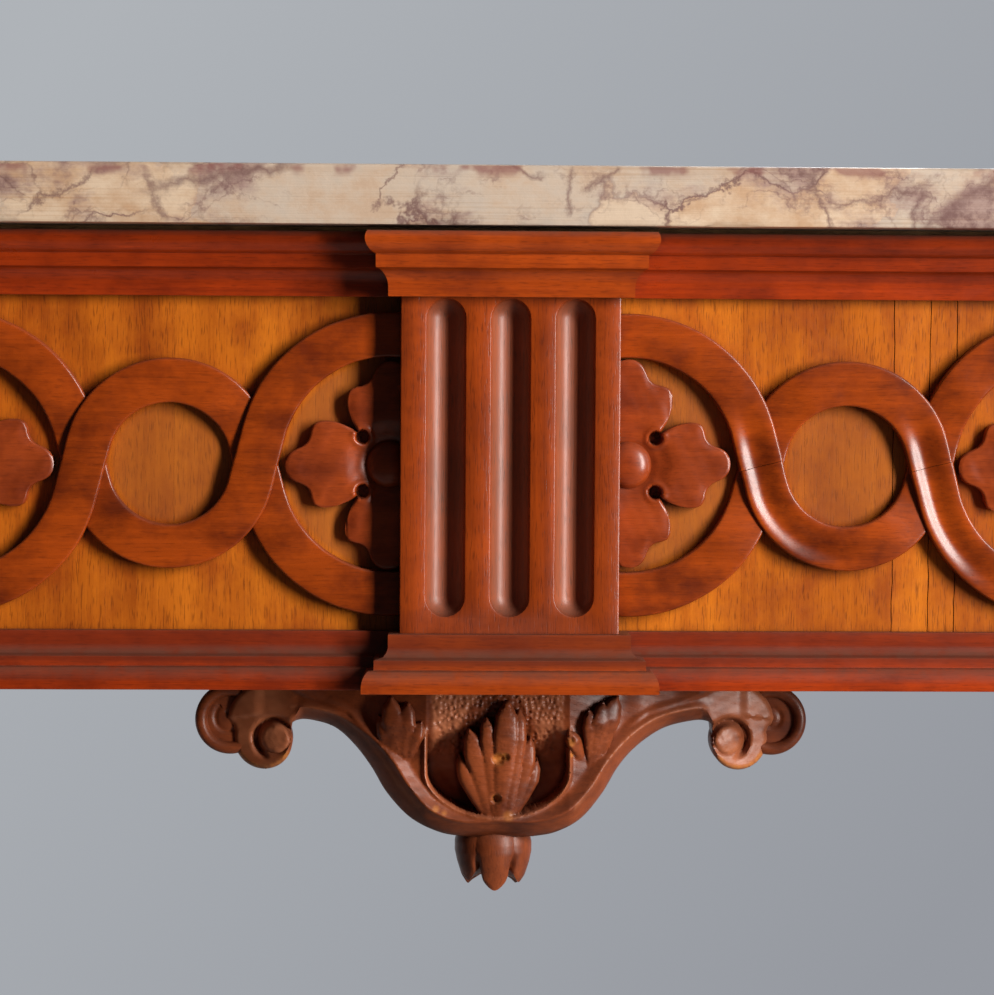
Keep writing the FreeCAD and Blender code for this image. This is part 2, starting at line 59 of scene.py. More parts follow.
class Graph:
    # short names for the nodes of one shader tree
    def __init__(self, tree):
        self.tree = tree

    def plug(self, socket, value):
        if isinstance(value, bpy.types.NodeSocket):
            self.tree.links.new(value, socket)
        else:
            socket.default_value = value

    def fill(self, node, sockets):
        for name, value in sockets.items():
            self.plug(node.inputs[name], value)
        return node

    def node(self, kind, sockets=None, **settings):
        made = self.tree.nodes.new("ShaderNode" + kind)
        for name, value in settings.items():
            setattr(made, name, value)
        return self.fill(made, sockets or {})

    def calc(self, operation, first, second=0.0, clamp=False):
        return self.node("Math", {0: first, 1: second}, operation=operation, use_clamp=clamp).outputs[0]

    def times(self, first, second, clamp=False):
        return self.calc("MULTIPLY", first, second, clamp)

    def plus(self, first, second, clamp=False):
        return self.calc("ADD", first, second, clamp)

    def minus(self, first, second):
        return self.calc("SUBTRACT", first, second)

    def most(self, first, second):
        return self.calc("MAXIMUM", first, second)

    def unsigned(self, value):
        return self.calc("ABSOLUTE", value)

    def mix(self, factor, first, second, blend="MIX"):
        sockets = {0: factor, 6: first, 7: second}
        return self.node("Mix", sockets, data_type="RGBA", blend_type=blend).outputs[2]

    def spread(self, value, low, high, outLow=0.0, outHigh=1.0):
        sockets = {"Value": value, "From Min": low, "From Max": high, "To Min": outLow, "To Max": outHigh}
        return self.node("MapRange", sockets).outputs[0]

    def stretch(self, vector, amounts, shift=(0.0, 0.0, 0.0)):
        amounts = amounts if isinstance(amounts, tuple) else (amounts,) * 3
        return self.node("VectorMath", {0: vector, 1: amounts, 2: shift}, operation="MULTIPLY_ADD").outputs[0]

    def noise(self, vector, scale, shift=(0.0, 0.0, 0.0), detail=2.0, roughness=0.5, distortion=0.0,
              color=False):
        sockets = {"Vector": self.stretch(vector, scale, shift), "Scale": 1.0, "Detail": detail,
                   "Roughness": roughness, "Distortion": distortion}
        return self.node("TexNoise", sockets).outputs["Color" if color else 0]

    def voronoi(self, vector, feature, output):
        return self.node("TexVoronoi", {"Vector": vector, "Scale": 1.0}, feature=feature).outputs[output]

    def bump(self, height, distance):
        return self.node("Bump", {"Strength": 1.0, "Distance": distance, "Height": height}).outputs[0]

    def parts(self, vector):
        return self.node("SeparateXYZ", {0: vector}).outputs

    def place(self):
        return self.node("TexCoord").outputs["Object"]

    def mark(self, name):
        return self.node("Attribute", attribute_name=name).outputs["Fac"]

    def group(self, tree, **sockets):
        return self.node("Group", sockets, node_tree=tree).outputs


def nodeGroup(name, inputs, outputs):
    tree = bpy.data.node_groups.new(name, "ShaderNodeTree")
    for label, kind, value in inputs:
        socket = tree.interface.new_socket(label, in_out="INPUT", socket_type="NodeSocket" + kind)
        if value is not None:
            socket.default_value = value
    for label, kind in outputs:
        tree.interface.new_socket(label, in_out="OUTPUT", socket_type="NodeSocket" + kind)
    return Graph(tree), tree.nodes.new("NodeGroupInput").outputs, tree.nodes.new("NodeGroupOutput").inputs


def bareMaterial(name):
    material = bpy.data.materials.new(name)
    material.use_nodes = True
    return material, Graph(material.node_tree), material.node_tree.nodes["Principled BSDF"]


# shared effects
grainLook = {
    "sway": dict(scale=(4.0, 11.0, 11.0), detail=1.0, color=True), "swayReach": (0.012, 0.007, 0.007),
    "broad": dict(scale=(2.4, 70.0, 70.0), detail=3.0, roughness=0.55),
    "fine": dict(scale=(9.0, 480.0, 480.0), detail=4.0, roughness=0.7),
    "hair": dict(scale=(26.0, 1500.0, 1500.0), shift=(3.1, 0.0, 0.0), detail=3.0, roughness=0.7),
    "dash": dict(scale=(190.0, 2000.0, 2000.0), shift=(7.7, 0.0, 0.0), detail=1.0, roughness=0.4),
    "cloud": dict(scale=(34.0, 46.0, 46.0), shift=(1.3, 4.0, 0.0), detail=5.0, roughness=0.62),
    "weights": (0.45, 0.35, 0.2), "poreBand": (0.57, 0.7), "streakBand": (0.38, 0.63),
    "cloudBand": (0.42, 0.66), "fineHeight": 0.35,
}


def makeWoodGrain():
    # the first axis of Vector runs along the grain, in metres
    look = grainLook
    g, into, out = nodeGroup(
        "woodGrain",
        [("Vector", "Vector", None), ("Pale", "Color", srgb(180, 92, 32)),
         ("Deep", "Color", srgb(120, 50, 16)), ("Pore", "Color", srgb(50, 18, 8)),
         ("Streaks", "Float", 0.7), ("Pores", "Float", 0.5), ("Mottle", "Float", 0.3)],
        [("Color", "Color"), ("Height", "Float"), ("Gloss", "Float")])
    start = into["Vector"]
    vector = g.stretch(g.noise(start, **look["sway"]), look["swayReach"], start)
    broad, fine, hair, dash = (g.noise(vector, **look[name]) for name in ("broad", "fine", "hair", "dash"))
    cloud = g.noise(start, **look["cloud"])
    pores = g.times(g.spread(dash, *look["poreBand"]), into["Pores"])
    shares = [g.times(part, weight) for part, weight in zip((broad, fine, hair), look["weights"])]
    mixed = g.plus(g.plus(shares[0], shares[1]), shares[2])
    color = g.mix(g.times(g.spread(mixed, *look["streakBand"]), into["Streaks"]), into["Pale"], into["Deep"])
    mottle = g.times(g.spread(cloud, *look["cloudBand"]), into["Mottle"])
    color = g.mix(mottle, color, into["Deep"], "MULTIPLY")
    g.plug(out["Color"], g.mix(pores, color, into["Pore"]))
    g.plug(out["Height"], g.minus(g.times(fine, look["fineHeight"]), pores))
    g.plug(out["Gloss"], cloud)
    return g.tree


ageLook = {
    "patch": dict(scale=90.0, detail=4.0, roughness=0.6),
    "breakUp": dict(scale=160.0, shift=(5.0, 1.0, 2.0), detail=3.0, roughness=0.7),
    "scratch": dict(scale=60.0, shift=(9.0, 3.0, 1.0), detail=5.0, roughness=0.75, distortion=1.5),
    "shut": (0.28, 0.85), "grimeShadeBand": (0.2, 0.6, 0.45, 1.0), "edge": (0.535, 0.62), "rubBand": (0.42, 0.62),
    "level": (0.1, 0.7), "dustBand": (0.3, 0.55, 0.55, 1.0), "scuffBand": (0.45, 0.75),
}


def makeAgeAndShadeMarks():
    # grime and painted shade where surfaces close in, rubbed edges, dust on ledges, scuffs
    look = ageLook
    g, into, out = nodeGroup(
        "ageAndShadeMarks",
        [("Vector", "Vector", None), ("Reach", "Float", 0.006), ("Grime", "Float", 0.7),
         ("Rub", "Float", 0.5), ("Dust", "Float", 0.4)],
        [(label, "Float") for label in ("Grime", "Rub", "Dust", "Scuff")])
    names = ("patch", "breakUp", "scratch")
    patch, breakUp, scratch = (g.noise(into["Vector"], **look[name]) for name in names)
    # painted shade: the grime mask darkens the colour where ambient occlusion finds surfaces closing in
    closeness = g.node("AmbientOcclusion", {"Distance": into["Reach"]}, samples=6)
    shape = g.node("NewGeometry").outputs
    shut = g.spread(g.minus(1.0, closeness.outputs["AO"]), *look["shut"])
    masks = {
        "Grime": (shut, g.spread(patch, *look["grimeShadeBand"])),
        "Rub": (g.spread(shape["Pointiness"], *look["edge"]), g.spread(breakUp, *look["rubBand"])),
        "Dust": (g.spread(g.parts(shape["Normal"])["Z"], *look["level"]),
                 g.spread(breakUp, *look["dustBand"])),
    }
    for label, (mask, uneven) in masks.items():
        g.plug(out[label], g.times(g.times(mask, uneven), into[label], True))
    g.plug(out["Scuff"], g.spread(scratch, *look["scuffBand"]))
    return g.tree


woodGrain = makeWoodGrain()
ageAndShadeMarks = makeAgeAndShadeMarks()

# wood finishes; every tuple is a colour
woodFinishes = {
    "veneer": dict(axis="Z", pale=(218, 121, 28), deep=(156, 71, 13), pore=(82, 32, 8), streaks=0.62,
                   pores=0.45, mottle=0.5, rough=0.34, coat=0.12, coatRough=0.2, grimeAndShade=0.75, rub=0.0,
                   dust=0.3, bump=0.00003, leafTint=(208, 184, 168), ringGroundShade=(144, 82, 42)),
    "rail": dict(axis="X", pale=(178, 60, 13), deep=(108, 30, 5), pore=(46, 12, 5), streaks=0.75,
                 pores=0.25, mottle=0.45, rough=0.3, coat=0.25, coatRough=0.2, grimeAndShade=0.85, rub=0.5,
                 dust=0.7, bump=0.00005, reach=0.008, ledge=0.5),
    "cap": dict(axis="X", pale=(184, 74, 16), deep=(116, 38, 6), pore=(56, 16, 6), streaks=0.75,
                pores=0.3, mottle=0.45, rough=0.3, coat=0.25, coatRough=0.2, grimeAndShade=0.8, rub=0.55,
                dust=0.7, bump=0.00005, reach=0.008, ledge=0.6),
    "block": dict(axis="Z", pale=(176, 72, 16), deep=(112, 40, 7), pore=(46, 13, 5), streaks=0.7,
                  pores=0.4, mottle=0.35, rough=0.31, coat=0.2, coatRough=0.3, grimeAndShade=0.85, rub=0.5,
                  dust=0.5, bump=0.00005, filmSheen=(118, 101, 86)),
    "band": dict(axis="X", pale=(172, 70, 13), deep=(104, 36, 5), pore=(44, 13, 5), streaks=0.65,
                 pores=0.22, mottle=0.65, rough=0.29, coat=0.25, coatRough=0.22, grimeAndShade=0.85, rub=0.7,
                 dust=0.4, bump=0.00008),
    "rosette": dict(axis="X", pale=(168, 70, 26), deep=(108, 39, 13), pore=(44, 14, 7), streaks=0.55,
                    pores=0.2, mottle=0.6, rough=0.32, coat=0.25, coatRough=0.2, grimeAndShade=0.9, rub=0.8,
                    dust=0.3, bump=0.00006),
    "pendant": dict(axis="X", pale=(146, 70, 34), deep=(92, 40, 18), pore=(40, 16, 9), streaks=0.5,
                    pores=0.2, mottle=0.7, rough=0.42, coat=0.1, coatRough=0.28, grimeAndShade=0.6, rub=0.8,
                    dust=0.3, bump=0.00012, raw=(198, 122, 56), worn=(194, 118, 80), reach=0.007),
    "carcase": dict(axis="X", pale=(176, 134, 88), deep=(132, 92, 54), pore=(84, 56, 32), streaks=0.8,
                    pores=0.6, mottle=0.4, rough=0.72, coat=0.0, coatRough=0.3, grimeAndShade=0.7, rub=0.1,
                    dust=0.4, bump=0.00012),
}
woodShared = {"reach": 0.006, "rubGain": 1.35, "specular": 0.3, "gloss": (0.3, 0.7), "roughSpan": 0.04,
              "scuffRough": 0.07, "dustRough": 0.5, "filmRough": 0.4}
grimeShadeColor = srgb(30, 12, 7)
dustColor = srgb(96, 60, 46)
darkeningColor = srgb(88, 34, 22)
woodMaterials = {}
# places with their own faded ground and painted shade, polish film and painted sheen, and darkening, in
# metres, as values for spread
groundLook = {
    "rings": [(0.0465, 0.0415, 0.55), (0.1320, 0.0235, 0.4)],  # middle, radius and fading
    "ringHeight": 0.7648, "ringBlur": 0.002,
    "filmSheenDepth": (-0.2518, -0.2492, 0.0, 0.3), "filmSheenWidth": (0.0424, 0.0426, 1.0, 0.0),
    "foot": (0.7055, 0.714, 0.36, 0.0), "side": (0.027, 0.034, 0.0, 0.2),
    "blockWidth": (0.0428, 0.043, 1.0, 0.0),
    "ledge": (0.6865, 0.6895, 0.0), "ledgeTop": (0.7005, 0.701, 1.0, 0.0),
}


def grainVector(g, place, axis):
    # the place with the axis of the grain first
    if axis == "X":
        return place
    parts, order = g.parts(place), "YXZ" if axis == "Y" else "ZXY"
    return g.node("CombineXYZ", {slot: parts[letter] for slot, letter in zip("XYZ", order)}).outputs[0]


def fadedShadedGround(g, place):
    # faded, darker ground in the rings beside the middle block: fading with painted shade from the rings
    # around it
    look, parts, faded = groundLook, g.parts(place), 0.0
    rise = g.minus(parts["Z"], look["ringHeight"])
    for middle, radius, share in look["rings"]:
        across = g.minus(g.unsigned(parts["X"]), middle)
        away = g.calc("SQRT", g.plus(g.times(across, across), g.times(rise, rise)))
        faded = g.most(faded, g.spread(away, radius - look["ringBlur"], radius, share, 0.0))
    return faded


def fluteFilmSheen(g, place):
    # dull old polish in the flutes of the middle block; its pale colour is also a painted sheen on the
    # flutes' walls
    look, parts = groundLook, g.parts(place)
    deep, across = g.spread(parts["Y"], *look["filmSheenDepth"]), g.unsigned(parts["X"])
    return g.times(deep, g.spread(across, *look["filmSheenWidth"]))


def blockDarkening(g, place):
    # darker foot and outer edges of the middle block
    look, parts = groundLook, g.parts(place)
    across = g.unsigned(parts["X"])
    darkening = g.most(g.spread(parts["Z"], *look["foot"]), g.spread(across, *look["side"]))
    return g.times(darkening, g.spread(across, *look["blockWidth"]))


def ledgeDarkening(g, place, much):
    # darker band in the hollows at the top of the base moulding
    rise = g.parts(place)["Z"]
    return g.times(g.spread(rise, *groundLook["ledge"], much), g.spread(rise, *groundLook["ledgeTop"]))


def woodMaterial(finish, axis=None):
    look = dict(woodShared, **woodFinishes[finish])
    axis = axis or look["axis"]
    name = finish + "Wood" + axis
    if name in woodMaterials:
        return woodMaterials[name]
    paint = {key: srgb(*value) for key, value in woodFinishes[finish].items() if isinstance(value, tuple)}
    material, g, shader = bareMaterial(name)
    place = g.place()
    grain = g.group(woodGrain, Vector=grainVector(g, place, axis), Pale=paint["pale"], Deep=paint["deep"],
                    Pore=paint["pore"], Streaks=look["streaks"], Pores=look["pores"], Mottle=look["mottle"])
    marksAndShade = g.group(ageAndShadeMarks, Vector=place, Reach=look["reach"], Grime=look["grimeAndShade"], Rub=look["rub"],
                  Dust=look["dust"])
    color = grain["Color"]
    if "leafTint" in look:
        color = g.mix(g.mark("tone"), color, paint["leafTint"], "MULTIPLY")
        # faded ground with painted shade inside the rings
        color = g.mix(fadedShadedGround(g, place), color, paint["ringGroundShade"])
    # grime and painted shade where surfaces close in
    color = g.mix(marksAndShade["Grime"], color, grimeShadeColor)
    color = g.mix(marksAndShade["Rub"], color, scaled(paint["pale"], look["rubGain"]))
    if "raw" in look:
        # on the pendant, worn also carries painted highlights and painted light in the pocket
        for mark in ("worn", "raw"):
            color = g.mix(g.mark(mark), color, paint[mark])
    span = look["roughSpan"]
    rough = g.spread(grain["Gloss"], *look["gloss"], look["rough"] - span, look["rough"] + span)
    rough = g.plus(rough, g.times(marksAndShade["Scuff"], look["scuffRough"]))
    if "filmSheen" in look:
        # old polish film in the flutes with painted sheen, and the darker foot and outer edges of the block
        filmSheen = fluteFilmSheen(g, place)
        color = g.mix(blockDarkening(g, place), g.mix(filmSheen, color, paint["filmSheen"]), darkeningColor)
        rough = g.plus(rough, g.times(filmSheen, look["filmRough"]))
    if "ledge" in look:
        color = g.mix(ledgeDarkening(g, place, look["ledge"]), color, darkeningColor)
    g.fill(shader, {
        "Base Color": g.mix(marksAndShade["Dust"], color, dustColor),
        "Roughness": g.plus(rough, g.times(marksAndShade["Dust"], look["dustRough"]), True),
        "Normal": g.bump(grain["Height"], look["bump"]), "Specular IOR Level": look["specular"],
        "Coat Weight": look["coat"], "Coat Roughness": look["coatRough"]})
    woodMaterials[name] = material
    return material


ironLook = {"rust": dict(scale=420.0, detail=4.0, roughness=0.65), "bare": (92, 86, 80),
            "rusty": (74, 44, 28), "tint": (0.4, 0.65), "rough": (0.3, 0.7, 0.45, 0.8),
            "metal": (0.45, 0.6, 0.9, 0.3), "bump": 0.0001}


def ironMaterial():
    look = ironLook
    material, g, shader = bareMaterial("oldIron")
    rust = g.noise(g.place(), **look["rust"])
    color = g.mix(g.spread(rust, *look["tint"]), srgb(*look["bare"]), srgb(*look["rusty"]))
    g.fill(shader, {"Base Color": color,
                    "Roughness": g.spread(rust, *look["rough"]), "Metallic": g.spread(rust, *look["metal"]),
                    "Normal": g.bump(rust, look["bump"])})
    return material


marbleLook = {
    "colors": dict(cream=(218, 191, 163), grey=(192, 175, 160), tan=(197, 159, 125), mauve=(158, 126, 118),
                   plum=(112, 76, 72), red=(134, 80, 76), sawn=(206, 172, 134), darkening=(96, 76, 62)),
    "noises": dict(
        warp=dict(scale=30.0, detail=6.0, roughness=0.6, color=True),
        clouds=dict(scale=(44.0, 44.0, 60.0), shift=(2.0, 0.0, 0.0), detail=6.0, roughness=0.66),
        drift=dict(scale=(26.0, 26.0, 40.0), shift=(4.0, 1.0, 3.0), detail=6.0, roughness=0.66),
        speck=dict(scale=150.0, shift=(0.0, 6.0, 0.0), detail=5.0, roughness=0.7),
        force=dict(scale=(18.0, 18.0, 26.0), shift=(1.0, 7.0, 0.0), detail=3.0),
        wobble=dict(scale=90.0, detail=5.0, roughness=0.65, color=True),
        blush=dict(scale=55.0, shift=(3.0, 0.0, 8.0), detail=3.0, roughness=0.6),
        saw=dict(scale=(7.0, 7.0, 900.0), detail=4.0, roughness=0.7),
        sawArea=dict(scale=(7.0, 7.0, 60.0), shift=(0.0, 2.0, 5.0))),
    "warpReach": 0.05, "wobbleReach": 0.016, "clast": (15.2, 19.0, 28.5),
    "clastShift": (0.35, 0.0, 0.2), "chip": 3.1,
    # values for spread
    "tan": (0.42, 0.64), "grey": (0.35, 0.75), "greyClouds": (0.35, 0.6, 1.0, 0.45),
    "seam": (0.0, 0.3, 0.07, -0.07),
    "mauve": (0.56, 0.72, 0.0, 0.85), "deep": (0.6, 0.74, 0.0, 0.8), "speckBand": (0.44, 0.6),
    "vein": (0.004, 0.035, 0.85, 0.0), "veinForce": (0.42, 0.62), "crack": (0.0, 0.06, 0.6, 0.0),
    "crackGround": (0.48, 0.66), "edgeFace": (0.25, 0.6, 1.0, 0.0), "arris": (0.8745, 0.8775),
    "blushBand": (0.5, 0.6, 0.0, 0.7), "sawBand": (0.46, 0.7, 0.0, 0.55), "sawAreas": (0.42, 0.6),
    "veinFront": (-0.262, -0.235, 1.0, 0.0),
    "rough": 0.32, "sawnRough": 0.6, "scuffRough": 0.1, "grimeAndShade": 0.5, "speckHeight": 0.8, "bump": 0.0003,
    # patches: place, reach and amount of violet matter
    "patches": [((0.178, -0.267, 0.868), 0.03, 0.24), ((-0.12, -0.267, 0.880), 0.03, 0.12),
                ((0.106, -0.267, 0.880), 0.03, 0.14), ((-0.17, -0.267, 0.880), 0.04, 0.2),
                ((0.02, -0.267, 0.876), 0.016, 0.12)],
    # veins: middle, turn from level, half length and width
    "veins": [((-0.112, 0.8745), 12.0, 0.034, 0.0034), ((-0.136, 0.8665), -62.0, 0.012, 0.0022),
              ((-0.172, 0.8690), 28.0, 0.018, 0.0014), ((0.004, 0.8775), -18.0, 0.010, 0.0022),
              ((0.021, 0.8700), 82.0, 0.011, 0.0020), ((0.034, 0.8740), 40.0, 0.010, 0.0022),
              ((0.117, 0.8660), -64.0, 0.014, 0.0018), ((0.141, 0.8685), 14.0, 0.022, 0.0020),
              ((0.154, 0.8640), 76.0, 0.011, 0.0022), ((0.174, 0.8690), 34.0, 0.024, 0.0042),
              ((-0.047, 0.8735), 58.0, 0.012, 0.0009), ((0.072, 0.8700), 24.0, 0.016, 0.0010)],
    "veinDepth": 0.8, "veinFade": 0.7,
}


def frontVeins(g, vector):
    # single veins on the front edge, each a soft stroke that fades towards its ends
    look, spot, strands = marbleLook, g.parts(vector), 0.0
    drift = look["wobbleReach"] / 2
    for (x, z), turn, reach, width in look["veins"]:
        across, rise = g.minus(spot["X"], x + drift), g.minus(spot["Z"], z + drift)
        cosine, sine = math.cos(math.radians(turn)), math.sin(math.radians(turn))
        along = g.plus(g.times(across, cosine), g.times(rise, sine))
        off = g.minus(g.times(rise, cosine), g.times(across, sine))
        strand = g.times(g.spread(g.unsigned(off), 0.0, width, look["veinDepth"], 0.0),
                         g.spread(g.unsigned(along), look["veinFade"] * reach, reach, 1.0, 0.0))
        strands = g.most(strands, strand)
    return g.times(strands, g.spread(spot["Y"], *look["veinFront"]))


def marbleMaterial():
    # broken pale stones with soft violet matter and veins between them
    look = marbleLook
    material, g, shader = bareMaterial("brecciaMarble")
    place = g.place()
    paint = {name: srgb(*levels) for name, levels in look["colors"].items()}
    fog = {name: g.noise(place, **values) for name, values in look["noises"].items()}

    def part(value, name):
        return g.spread(value, *look[name])

    stones = g.stretch(g.stretch(fog["warp"], look["warpReach"], place), look["clast"], look["clastShift"])
    tint = g.node("SeparateColor", {0: g.voronoi(stones, "F1", "Color")}).outputs[0]
    color = g.mix(part(fog["clouds"], "tan"), paint["cream"], paint["tan"])
    color = g.mix(g.times(part(tint, "grey"), part(fog["clouds"], "greyClouds")), color, paint["grey"])
    edge = g.voronoi(stones, "DISTANCE_TO_EDGE", "Distance")
    small = g.voronoi(g.stretch(stones, look["chip"]), "DISTANCE_TO_EDGE", "Distance")
    much = g.plus(fog["drift"], part(edge, "seam"))
    for spot, reach, amount in look["patches"]:
        gap = g.node("VectorMath", {0: place, 1: spot}, operation="DISTANCE").outputs["Value"]
        much = g.plus(much, g.spread(gap, 0.0, reach, amount, 0.0))
    color = g.mix(part(much, "mauve"), color, paint["mauve"])
    color = g.mix(g.times(part(much, "deep"), part(fog["speck"], "speckBand")), color, paint["plum"])
    vein = g.times(part(edge, "vein"), part(fog["force"], "veinForce"))
    crack = g.times(part(small, "crack"), part(much, "crackGround"))
    crack = g.most(crack, frontVeins(g, g.stretch(fog["wobble"], look["wobbleReach"], place)))
    color = g.mix(g.most(vein, crack), color, paint["plum"])
    edgeFace = part(g.unsigned(g.parts(g.node("NewGeometry").outputs["Normal"])["Z"]), "edgeFace")
    blush = g.times(part(fog["blush"], "blushBand"), part(g.parts(place)["Z"], "arris"))
    color = g.mix(g.times(blush, edgeFace), color, paint["red"])
    sawn = g.times(part(fog["saw"], "sawBand"), g.times(edgeFace, part(fog["sawArea"], "sawAreas")))
    color = g.mix(sawn, color, paint["sawn"], "MULTIPLY")
    marksAndShade = g.group(ageAndShadeMarks, Vector=place, Grime=look["grimeAndShade"], Rub=0.0, Dust=0.0)
    rough = g.spread(edgeFace, 0.0, 1.0, look["rough"], look["sawnRough"])
    height = g.times(g.plus(fog["saw"], g.times(fog["speck"], look["speckHeight"])), edgeFace)
    # grime and painted shade where surfaces close in
    g.fill(shader, {"Base Color": g.mix(marksAndShade["Grime"], color, paint["darkening"]),
                    "Roughness": g.plus(rough, g.times(marksAndShade["Scuff"], look["scuffRough"]), True),
                    "Normal": g.bump(height, look["bump"])})
    return material


marble = marbleMaterial()
iron = ironMaterial()
print("finishes made")


# carried-over nodes
def finishOf(node):
    if node == "marble_top":
        return marble
    if node in ("bearer_screws", "pendant_screws", "crown_pins"):
        return iron
    side = "Y" if node.endswith(("_left", "_right")) and "front" not in node and "back" not in node else "X"
    kinds = {"leg_": ("block", "Z"), "center_block": ("block", "Z"), "veneer": ("veneer",),
             "crown_": ("rail", side), "base_": ("rail", side), "guilloche": ("band", side),
             "rosettes": ("rosette", side), "pendant": ("pendant",)}
    for start, choice in kinds.items():
        if node.startswith(start):
            return woodMaterial(*choice)
    endways = node in ("left_rail", "right_rail", "bearer_left", "bearer_right")
    return woodMaterial("carcase", "Y" if endways else "X")


for nodeName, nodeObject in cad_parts.items():
    nodeObject.data.materials.clear()
    nodeObject.data.materials.append(finishOf(nodeName))
print("frame nodes finished")


# sizes read from the frame, in millimetres
def mmBox(node):
    return [np.array(corner) * 1000 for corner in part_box(node)]


blockLow, blockHigh = mmBox("center_block")
postLow, postHigh = mmBox("leg_front_right")
backPostLow, backPostHigh = mmBox("leg_back_right")
crownLow, crownHigh = mmBox("crown_center")
baseLow, baseHigh = mmBox("base_center")
slabLow, slabHigh = mmBox("marble_top")
ringLow, ringHigh = mmBox("guilloche_front_right")
pendantLow, pendantHigh = mmBox("pendant_bracket")
dropLow, dropHigh = mmBox("pendant_drop")
blockX, yFront = blockHigh[0], blockLow[1]
yPanel, panelX = mmBox("veneer_front_right")[0][1], mmBox("veneer_right")[1][0]
postIn, postOut, yFrontPost = postLow[0], postHigh[0], postHigh[1]
yBackPost, yBack = backPostLow[1], backPostHigh[1]
friezeLow, friezeHigh = baseHigh[2], crownLow[2]
friezeMid = (friezeLow + friezeHigh) / 2
sunk = -0.4  # how far applied pieces reach into what carries them


# shape helpers
def smooth(value):
    value = np.clip(value, 0, 1)
    return value * value * (3 - 2 * value)


def ramp(value, start, span):
    # 0 up to start, 1 from start + span on; a negative span falls the other way
    return smooth((value - start) / span)


def bell(value, width, power=2):
    return np.exp(-((value / width) ** power))


def roundOver(gap, size):
    # how far a rounded edge lies below the face, by the distance from it
    return size * (1 - np.sqrt(np.maximum(0, 1 - np.maximum(0, 1 - gap / size) ** 2)))


def waver(along, seed, waves=((170.0, 1.0), (61.0, 0.6), (23.0, 0.45), (9.0, 0.3))):
    # slow hand-made unevenness, about -1 to 1
    draw = np.random.default_rng(seed)
    along = np.asarray(along, float)
    total = np.zeros_like(along)
    for length, size in waves:
        total += size * np.sin(2 * np.pi * along / (length * draw.uniform(0.8, 1.25)) + draw.uniform(0, 6.28))
    return total / 1.6


def runLength(line):
    return np.concatenate([[0], np.cumsum(np.linalg.norm(np.diff(line, axis=0), axis=1))])


def leftOf(line, *spacing):
    # unit vectors to the left of a line
    way = np.gradient(line, *spacing, axis=0)
    way /= np.linalg.norm(way, axis=1)[:, None]
    return np.column_stack([-way[:, 1], way[:, 0]])


def ring(center, radius, turns, height):
    x, y = center[0] + radius * np.cos(turns), center[1] + radius * np.sin(turns)
    return np.column_stack([x, y, height + 0 * turns])


def fullTurn(count):
    return np.linspace(0, 2 * np.pi, count, endpoint=False)


def arcPoints(first, middle, last, count):
    # points after first, up to and with last, on the circle through the three
    a, b, c = (complex(*point) for point in (first, middle, last))
    ratio = (c - a) / (b - a)
    center = a + (b - a) * (ratio - abs(ratio) ** 2) / (2j * ratio.imag)
    begin, mid, end = (cmath.phase(point - center) for point in (a, b, c))
    sweep = (end - begin) % (2 * math.pi)
    if (mid - begin) % (2 * math.pi) > sweep:
        sweep -= 2 * math.pi
    arc = [center + cmath.rect(abs(a - center), begin + sweep * i / count) for i in range(1, count + 1)]
    return [(point.real, point.imag) for point in arc]


def gridFaces(rows, cols):
    # faces between closed rings of points
    return [(r * cols + c, r * cols + (c + 1) % cols, (r + 1) * cols + (c + 1) % cols, (r + 1) * cols + c)
            for r in range(rows - 1) for c in range(cols)]


def tube(rings):
    # a skin over rings of points, closed at both ends
    cols, total = len(rings[0]), len(rings) * len(rings[0])
    ends = [list(range(cols)), list(range(total - cols, total))]
    return np.concatenate(rings), gridFaces(len(rings), cols) + ends


def addObject(name, data):
    made = bpy.data.objects.new(name, data)
    bpy.context.scene.collection.objects.link(made)
    return made


def piece(name, parts, material, nodes, body="frame", sharp=38.0, cuts=(), marks=()):
    points, faces = [], []
    for partPoints, partFaces in parts:
        start = len(points)
        points.extend(np.asarray(partPoints, float).reshape(-1, 3).tolist())
        faces.extend([[start + i for i in face] for face in partFaces])
    mesh = bpy.data.meshes.new(name)
    mesh.from_pydata((np.array(points) * 0.001).tolist(), [], faces)
    for label, values in marks:
        mesh.attributes.new(label, "FLOAT", "POINT").data.foreach_set("value", np.asarray(values, np.float32))
    work = bmesh.new()
    work.from_mesh(mesh)
    bmesh.ops.remove_doubles(work, verts=work.verts, dist=2e-6)
    for place, normal in cuts:
        found = bmesh.ops.bisect_plane(work, geom=work.verts[:] + work.edges[:] + work.faces[:], dist=1e-7,
                                       plane_co=np.array(place) * 0.001, plane_no=normal, clear_outer=True)
        edges = [item for item in found["geom_cut"] if isinstance(item, bmesh.types.BMEdge)]
        bmesh.ops.holes_fill(work, edges=edges, sides=0)
    bmesh.ops.recalc_face_normals(work, faces=work.faces)
    work.to_mesh(mesh)
    work.free()
    mesh.shade_smooth()
    mesh.set_sharp_from_angle(angle=math.radians(sharp))
    made = addObject(name, mesh)
    mesh.materials.append(material)
    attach(made, body)
    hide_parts(*nodes)
    return made


# crown and base mouldings
mouldingLook = {"ease": 0.45, "easeShare": 0.4, "bend": 9, "waver": 0.13, "station": 7.0, "endFade": 12.0,
                "still": 0.6, "riseShare": 0.4, "seed": 100}
